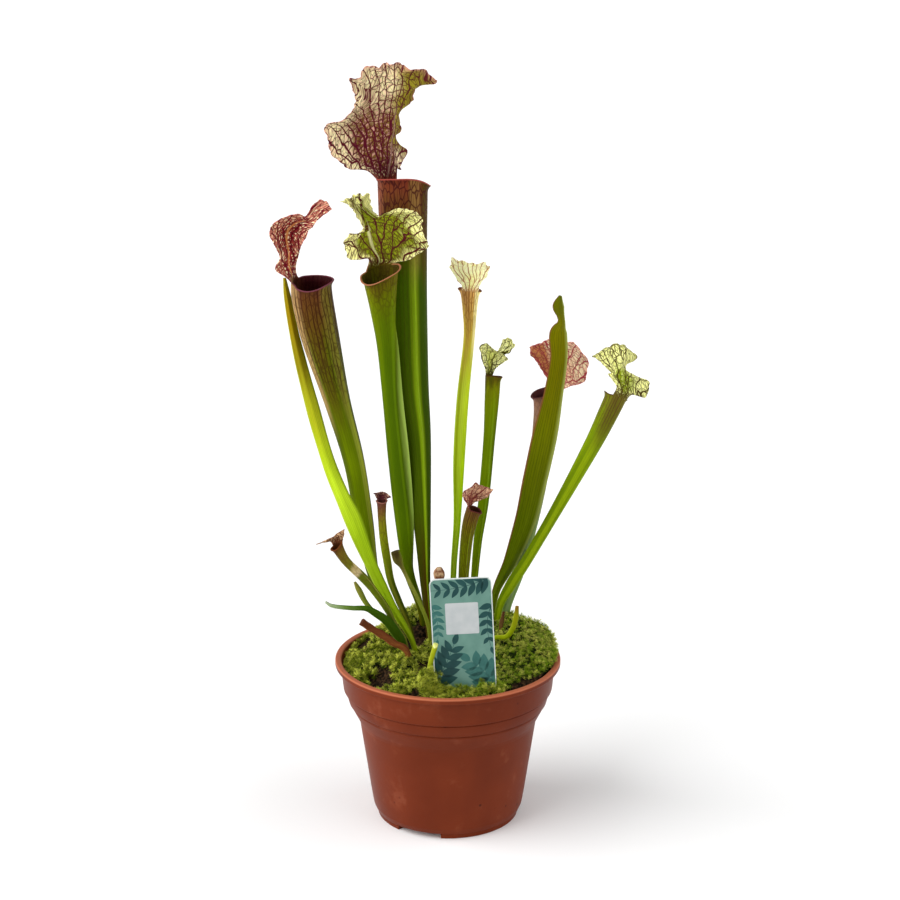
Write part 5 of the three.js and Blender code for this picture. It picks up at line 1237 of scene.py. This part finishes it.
# Blades and stems
def loft(spine, grid, section, name, look, slot):
    """A closed loft whose section gives offsets for a half width, an angle and the distance from the foot."""
    skin = Skin()
    sides, rings = grid
    places = np.linspace(0, 1, rings)
    at = along(spine, places)
    first, second, _ = cross_axes(spine, places, FRONT)
    far = lengths(at[:, :3], 0)[:, None]
    angles = np.linspace(0, 2 * math.pi, sides, endpoint=False)
    a, b = section(at[:, 3:4], angles[None], far)
    points = at[:, None, :3] + first[:, None] * a[..., None] + second[:, None] * b[..., None]
    numbers = skin.add(points, net=(a, b, far), place=(np.sin(angles), far / far[-1], 0))
    tips = np.array([0, 1])
    ends = skin.add(at[[0, -1], :3], net=(0, 0, far[-1] * tips), place=(0, tips, 0))
    skin.barrel(numbers, ends)
    skin.piece(name + "_skin", plain_paint(name, look), slot, name)


def blade_section(thickness, keel, wave):
    def section(half, angle, far):
        thick = np.minimum(thickness, half)
        edge = np.abs(np.sin(angle))
        narrow = np.minimum(1, half / 3)
        ridge = keel * np.maximum(0, np.cos(angle)) ** 14 * narrow
        lines = 0.05 * np.sin(16 * np.sin(angle)) * np.abs(np.cos(angle))
        body = thick * np.cos(angle) * (0.55 + 0.45 * (1 - edge ** 2)) + ridge + lines
        sway = wave * edge ** 3 * np.sin(far / 5.2 + np.sign(np.sin(angle)) * 1.2) * narrow
        return body + sway, half * np.sin(angle)
    return section


def stem_section(wrinkle, ribs=4):
    def section(radius, angle, far):
        folds = 1 + wrinkle * (np.sin(ribs * angle + 0.05 * far) + 0.6 * np.sin(0.9 * far + 2 * angle))
        return radius * folds * np.cos(angle), radius * folds * np.sin(angle)
    return section


# Pot
def rounded(profile, size):
    """A profile with each corner replaced by a short curve."""
    profile = np.array(profile, float)
    result = [profile[0]]
    for before, corner, after in zip(profile, profile[1:], profile[2:]):
        back, ahead = before - corner, after - corner
        cut = min(size, 0.4 * np.hypot(*back), 0.4 * np.hypot(*ahead))
        start = corner + back / np.hypot(*back) * cut
        end = corner + ahead / np.hypot(*ahead) * cut
        result += [start, 0.25 * start + 0.5 * corner + 0.25 * end, end]
    return np.array([*result, profile[-1]])


def pot_columns():
    """Azimuths round the pot, with two close ones at each side of a notch."""
    azimuths = np.linspace(0, POT_TURN, POT_SIDES, endpoint=False)
    edges = [NOTCH_FIRST + POT_TURN / NOTCHES * i + side * (NOTCH_ARC / 2 + step)
             for i in range(NOTCHES) for side in (-1, 1) for step in (-0.12, 0.12)]
    edges = np.array(edges) % POT_TURN
    keep = np.min(np.abs(azimuths[:, None] - edges), axis=1) > 0.5
    return np.sort(np.concatenate([azimuths[keep], edges]))


def pot():
    outside = rounded(POT_OUTSIDE, POT_OUTSIDE_ROUND)
    profile = np.concatenate([outside, rounded(POT_INSIDE, POT_INSIDE_ROUND)])
    radius, height = profile[:, :1], profile[:, 1:]
    order = np.arange(len(profile))[:, None]
    azimuths = pot_columns()
    spacing = POT_TURN / NOTCHES
    from_notch = (azimuths - NOTCH_FIRST + spacing / 2) % spacing - spacing / 2
    low = (order < len(outside)) & (radius > NOTCH_INNER_RADIUS) & (height < NOTCH_HEIGHT)
    notched = low & (np.abs(from_notch) < NOTCH_ARC / 2)
    points = around(radius, np.radians(azimuths), np.where(notched, NOTCH_HEIGHT + 0.004 * order, height))
    skin = Skin()
    numbers = skin.add(points[1:-1])
    skin.barrel(numbers, skin.add([(0, 0, profile[0, 1]), (0, 0, profile[-1, 1])]))
    skin.piece("pot_shell", pot_paint(), "pot_plastic", "pot", sharp=32)


# Moss
def moss_right(azimuth):
    """1 where the moss swells over the pot's right edge, falling to 0 round it."""
    return np.maximum(0, np.cos(azimuth - math.radians(MOSS_RIGHT))) ** 3


def moss_edge(azimuth):
    back, left = np.maximum(0, np.sin(azimuth)), np.maximum(0, -np.cos(azimuth))
    return MOSS_EDGE + 8 * moss_right(azimuth) + 5 * back - 2.3 * left


def moss_reach(azimuth):
    return MOSS_RADIUS + 3.4 * moss_right(azimuth)


def moss_height(x, y):
    azimuth = np.arctan2(y, x)
    share = np.hypot(x, y) / moss_reach(azimuth)
    edge = moss_edge(azimuth)
    mounds = sum(h * np.exp(-((x - mx) ** 2 + (y - my) ** 2) / (2 * s * s)) for mx, my, h, s in MOSS_MOUNDS)
    tufts = np.sin(0.52 * x + 0.3 * y) * np.sin(0.47 * y - 0.2 * x + 1) + 0.5 * np.sin(0.9 * x - 0.8 * y)
    inner = 1 - smooth(0.72, 1, share)
    return edge + (POT_HEIGHT + mounds - edge) * inner + 1.2 * tufts * (0.3 + 0.7 * inner)


def in_reach(x, y, inset):
    return np.hypot(x, y) < moss_reach(np.arctan2(y, x)) - inset


def bareness(x, y):
    """How bare the soil is, from 0 to 1."""
    bare = np.zeros_like(x)
    ragged = 0.3 * np.sin(0.9 * x + 1.7 * np.sin(0.6 * y)) * np.sin(0.8 * y + x * 0.3)
    for gap_x, gap_y, wide, deep, turned in MOSS_GAPS:
        c, s = math.cos(math.radians(turned)), math.sin(math.radians(turned))
        u = ((x - gap_x) * c + (y - gap_y) * s) / wide
        w = ((y - gap_y) * c - (x - gap_x) * s) / deep
        bare = np.maximum(bare, 1 - smooth(0.6, 1.25, np.hypot(u, w) + ragged))
    return bare


def moss_ground():
    skin = Skin()
    azimuth = np.linspace(0, 2 * math.pi, GROUND_COLUMNS, endpoint=False)
    radius = np.linspace(1, 0.02, GROUND_RINGS)[:, None] * (moss_reach(azimuth) - 0.9)
    top = around(radius, azimuth, 0)
    x, y = top[..., 0], top[..., 1]
    bare = bareness(x, y)
    crumbs = 0.5 * np.sin(2.1 * x + 1.3 * np.sin(1.7 * y)) * np.sin(2.3 * y + np.sin(1.9 * x))
    top[..., 2] = moss_height(x, y) - GROUND_DEPTH - 1.4 * bare + crumbs * (0.4 + 0.6 * bare)
    wall = MOSS_RADIUS - 0.2
    edge = np.minimum(np.minimum(moss_edge(azimuth) - 2.4, POT_HEIGHT + 0.4), top[0, :, 2] - 0.8)
    rings = [around(wall - 1, azimuth, MOSS_FLOOR), around(wall, azimuth, edge), *top]
    numbers = skin.add(np.array(rings), place=(np.concatenate([bare[:1], bare[:1], bare]), 0, 0))
    skin.barrel(numbers, skin.add([(0, 0, GROUND_MIDDLE), (0, 0, moss_height(0.0, 0.0) - GROUND_DEPTH)]))
    skin.piece("moss_ground", moss_ground_paint(), "moss", "moss_carpet")


def sprig_places():
    """Where the sprigs stand, and how far each is raised: a jittered grid, the back edge and the tufts."""
    steps = np.arange(-60, 60, SPRIG_STEP)
    x, y = np.meshgrid(steps, steps)
    x[::2] += SPRIG_STEP / 2
    x = x.ravel() + rng.uniform(-SPRIG_SHIFT, SPRIG_SHIFT, x.size)
    y = y.ravel() + rng.uniform(-SPRIG_SHIFT, SPRIG_SHIFT, y.size)
    kept = in_reach(x, y, 0.3)
    kept &= rng.uniform(0, 1, x.size) > 1.15 * bareness(x, y)
    azimuth = rng.uniform(-0.2, math.pi + 0.2, EDGE_SPRIGS)
    radius = moss_reach(azimuth) - rng.uniform(0.1, 1.4, EDGE_SPRIGS)
    groups = [
        np.stack([x, y, np.zeros_like(x)], -1)[kept],
        around(radius, azimuth, rng.uniform(-2.5, 0, EDGE_SPRIGS)),
    ]
    for tuft_x, tuft_y, spread, height, count in MOSS_TUFTS:
        x = tuft_x + rng.normal(0, spread, count)
        y = tuft_y + rng.normal(0, 0.3 * spread, count)
        tuft = np.stack([x, y, rng.uniform(0, height, count)], -1)
        groups.append(tuft[in_reach(x, y, 1.2)])
    return np.concatenate(groups).T


def sprig_leaflets(x, y, raised, loose):
    """The corners of every leaflet: each sprig is a small star of pointed ones in two tiers."""
    step = 0.4
    slope_x = (moss_height(x + step, y) - moss_height(x - step, y)) / (2 * step)
    slope_y = (moss_height(x, y + step) - moss_height(x, y - step)) / (2 * step)
    normal = unit(np.stack([-slope_x, -slope_y, np.ones_like(x)], -1) + rng.normal(0, 0.28, (len(x), 3)))
    size = (1.6 + 0.7 * loose) * rng.uniform(0.7, 1.35, len(x))
    foot = moss_height(x, y) + raised - 0.9 - 0.25 * size + rng.normal(0, 0.6, len(x))
    centre = np.stack([x, y, foot], -1)
    helper = np.where(np.abs(normal[:, :1]) < 0.9, [[1.0, 0, 0]], [[0, 1.0, 0]])
    east = unit(np.cross(normal, helper))[:, None]
    normal = normal[:, None]
    north = np.cross(normal, east)
    leaflet = np.arange(LEAFLETS)
    upper = leaflet >= LOW_LEAFLETS
    turn = leaflet * 2.4 + rng.uniform(0, 6.3, (len(x), 1)) + rng.normal(0, 0.15, (len(x), LEAFLETS))
    climb = np.radians(np.where(upper, 58, 24)) + rng.normal(0, 0.2, turn.shape)
    reach = size[:, None] * np.where(upper, 0.8, 1.0) * rng.uniform(0.8, 1.15, turn.shape)
    turn, climb, reach = turn[..., None], climb[..., None], reach[..., None]
    level = east * np.cos(turn) + north * np.sin(turn)
    beside = north * np.cos(turn) - east * np.sin(turn)
    ahead = level * np.cos(climb) + normal * np.sin(climb)
    above = np.cross(ahead, beside)
    above = above * np.sign((above * normal).sum(-1, keepdims=True))
    tier = (np.where(upper, 0.5, 0.15) * size[:, None])[..., None]
    root = centre[:, None] + normal * tier + level * 0.12
    wide = 0.06 * reach
    tip = root + ahead * reach - normal * (0.12 * reach)
    ridge = root + above * wide * 0.7 + ahead * 0.2 * wide
    return np.stack([root + beside * wide, ridge, root - beside * wide, tip], 2)


def moss_sprigs():
    x, y, raised = sprig_places()
    loose = smooth(20, -30, x + 0.4 * y)
    corners = sprig_leaflets(x, y, raised, loose)
    tone = rng.uniform(0, 1, (len(x), 1, 1))
    far = np.array([0, 0.1, 0, 1.0])
    material = sprig_paint()
    middle = np.median(x)
    for name, chosen in (("moss_sprigs_left", x <= middle), ("moss_sprigs_right", x > middle)):
        skin = Skin()
        numbers = skin.add(corners[chosen], place=(tone[chosen], far, loose[chosen][:, None, None]))
        a, b, c, d = (numbers[..., k].ravel() for k in range(4))
        skin.faces += [np.stack(corner, -1) for corner in ((a, d, b), (b, d, c), (c, d, a))]
        skin.piece(name, material, "moss", "moss_carpet", closed=False, sharp=180)


# Label
def rounded_rectangle(half, bottom, top, corner, steps=8):
    points = []
    for cx, cy, start in ((half, top, 0), (-half, top, 90), (-half, bottom, 180), (half, bottom, 270)):
        x = cx - math.copysign(corner, cx)
        y = cy - (corner if cy == top else -corner)
        for angle in np.radians(np.linspace(start, start + 90, steps)):
            points.append((x + corner * math.cos(angle), y + corner * math.sin(angle)))
    return np.array(points)


def plate(skin, outline, low, high, bevel=0.0):
    """A flat closed plate on the label from an outline of (across, up) points."""
    up = unit(np.array(LABEL_LEAN, float))
    face = unit(FRONT + up * up[1])
    side = np.cross(up, face)
    outline = np.asarray(outline, float)
    centre = outline.mean(0)
    inset = centre + (outline - centre) * (1 - bevel)
    rows = [(inset, low), (outline, low + bevel), (outline, high - bevel), (inset, high)]
    rows = rows if bevel else [(outline, low), (outline, high)]
    points = [np.array(LABEL_TOP) + o[:, :1] * side + o[:, 1:] * up + h * face for o, h in rows]
    numbers = skin.add(np.array(points))
    skin.grid(numbers, closed=True)
    skin.faces += [numbers[:1], numbers[-1:]]


def leaf_outline(start, angle, length, width, steps=9):
    share = np.linspace(0, 1, steps)
    half = width / 2 * np.sin(math.pi * share ** 0.8) ** 0.9
    ahead = np.concatenate([share, share[-2:0:-1]]) * length
    across = np.concatenate([half, -half[-2:0:-1]])
    c, s = math.cos(angle), math.sin(angle)
    return start + np.stack([ahead * c - across * s, ahead * s + across * c], -1)


def sprig_outlines(start, bend, end, pairs, length, width):
    """A curved stalk with pairs of pointed leaves along it, and one at its tip."""
    share = np.linspace(0, 1, 24)[:, None]
    start, bend, end = (np.array(point, float) for point in (start, bend, end))
    path = (1 - share) ** 2 * start + 2 * share * (1 - share) * bend + share ** 2 * end
    slope = unit(np.gradient(path, axis=0))
    heading = np.arctan2(slope[:, 1], slope[:, 0])
    across = np.stack([-slope[:, 1], slope[:, 0]], -1)
    thick = 0.22 * (1 - 0.6 * share)
    outlines = [np.concatenate([path + across * thick, (path - across * thick)[::-1]])]
    leaves = [(int(3 + i * 20 / pairs), side * math.radians(46), 1 - 0.45 * i / pairs)
              for i in range(pairs) for side in (-1, 1)]
    for place, turn, size in [*leaves, (-1, 0, 0.6)]:
        outlines.append(leaf_outline(path[place], heading[place] + turn, length * size, width * size))
    return outlines


def label_piece(name, plates, paint_name, colour, second):
    """A piece of the label, from plates of (outline, low, high, bevel)."""
    skin = Skin()
    for outline, low, high, bevel in plates:
        plate(skin, outline, low, high, bevel)
    skin.piece(name, card_paint(paint_name, colour, second), "label_card", "plant_label")


def label():
    half = LABEL_WIDTH / 2
    thick = LABEL_THICKNESS / 2
    print_half, print_bottom = half - LABEL_BORDER, LABEL_BORDER - LABEL_HEIGHT
    stake_end = -LABEL_HEIGHT - STAKE_LENGTH
    stake = [(-STAKE_WIDTH / 2, print_bottom), (-STAKE_TIP_WIDTH / 2, stake_end),
             (STAKE_TIP_WIDTH / 2, stake_end), (STAKE_WIDTH / 2, print_bottom)]
    card = rounded_rectangle(half, -LABEL_HEIGHT, 0, LABEL_CORNER)
    label_piece("label_card", [(card, -thick, thick, 0.006), (stake, -thick * 0.9, thick * 0.9, 0.0)],
                "label_white", (212, 216, 214), (200, 206, 203))
    ground = rounded_rectangle(print_half, print_bottom, -LABEL_BORDER, LABEL_CORNER - 0.4)
    label_piece("label_ground", [(ground, thick - 0.1, thick + 0.03, 0.0)],
                "label_teal", (98, 136, 124), (88, 126, 115))
    panel = rounded_rectangle(PANEL_HALF, PANEL_BOTTOM, PANEL_TOP, 0.7)
    label_piece("label_panel", [(panel, thick, thick + 0.09, 0.0)],
                "label_pale", (180, 184, 184), (170, 175, 176))
    low_corner, high_corner = (0.6 - half, 0.6 - LABEL_HEIGHT), (half - 0.6, -0.6)
    for name, sprigs, height, paint_name, colour, second in (
            ("label_sprigs_dark", DARK_SPRIGS, 0.06, "label_dark", (18, 58, 58), (28, 70, 68)),
            ("label_sprigs_mid", MIDDLE_SPRIGS, 0.05, "label_mid", (44, 92, 86), (54, 104, 97))):
        plates = [(np.clip(outline, low_corner, high_corner), thick, thick + height, 0.0)
                  for sprig in sprigs for outline in sprig_outlines(*sprig)]
        label_piece(name, plates, paint_name, colour, second)


SLOTS = {part["node"]: part["material_slot"] for part in frame["record"]["subparts"]}

pot()
moss_ground()
moss_sprigs()
label()
for name, leaf in PITCHERS.items():
    look = LOOKS[name]
    material = PitcherPaint(name, look, leaf["spine"][-1][3]).make()
    PitcherSkin(leaf, look["scallop"]).piece(name + "_skin", material, SLOTS[name], name)
for name, (thickness, keel, spine) in BLADES.items():
    wave = 0.5 if name in ("sword_leaf", "broad_leaf") else 0.25
    loft(spine, BLADE_GRID, blade_section(thickness, keel, wave), name, PLAIN_LOOKS[name], SLOTS[name])
for name, spine in STEMS.items():
    wrinkle = 0.13 if name in ("dead_stalk", "dry_knob", "dry_stub") else 0.03
    loft(spine, STEM_GRID, stem_section(wrinkle), name, PLAIN_LOOKS[name], SLOTS[name])
for name, dark, light, scale in (
        ("potting_mix", (20, 15, 10), (66, 48, 32), 500), ("rhizome", (60, 38, 22), (108, 76, 48), 300)):
    materials = frame["nodes"][name].data.materials
    materials.clear()
    materials.append(ground_paint(name, dark, light, scale))

# Floor, lights and camera
floor_mesh = bpy.data.meshes.new("floor")
floor_mesh.from_pydata([(-30, -6, 0), (30, -6, 0), (30, 60, 0), (-30, 60, 0)], [], [(0, 1, 2, 3)])
floor = bpy.data.objects.new("floor", floor_mesh)
bpy.context.scene.collection.objects.link(floor)
floor_paint = Paint("floor", 0.8)
floor_shade = floor_paint.noise(floor_paint.position(), 6)
floor_colour = floor_paint.mix(floor_shade, (0.93, 0.93, 0.93, 1), (0.95, 0.95, 0.95, 1))
floor_paint.join(floor_colour, floor_paint.shader.inputs["Base Color"])
floor_mesh.materials.append(floor_paint.material)

world = bpy.data.worlds.new("studio")
bpy.context.scene.world = world
world.use_nodes = True
world.node_tree.nodes["Background"].inputs["Color"].default_value = (1, 1, 1, 1)
world.node_tree.nodes["Background"].inputs["Strength"].default_value = 0.46


def soft_sun(name, place, size, power, target=(0, 0, 0.2)):
    """Soft light from the side of a place, turned towards a target. Its size is its angle in degrees."""
    data = bpy.data.lights.new(name, "SUN")
    data.angle = math.radians(size)
    data.energy = power
    light = bpy.data.objects.new(name, data)
    bpy.context.scene.collection.objects.link(light)
    x, y, z = np.array(target, float) - np.array(place, float)
    light.location = place
    light.rotation_euler = (math.atan2(math.hypot(x, y), -z), 0, math.atan2(x, -y) + math.pi)


soft_sun("key", (-1.5, -0.5, 1.2), 70, 3.4)
soft_sun("fill", (1.5, -0.3, 0.9), 80, 1.5)
bpy.context.scene.view_settings.view_transform = "Standard"

camera_data = bpy.data.cameras.new("camera")
camera_data.lens = 80.32
camera_data.sensor_width = 36
camera = bpy.data.objects.new("camera", camera_data)
bpy.context.scene.collection.objects.link(camera)
camera.location = (0.001135, -1.0, 0.4857)
camera.rotation_euler = (math.radians(74.1675), 0, 0)
bpy.context.scene.camera = camera
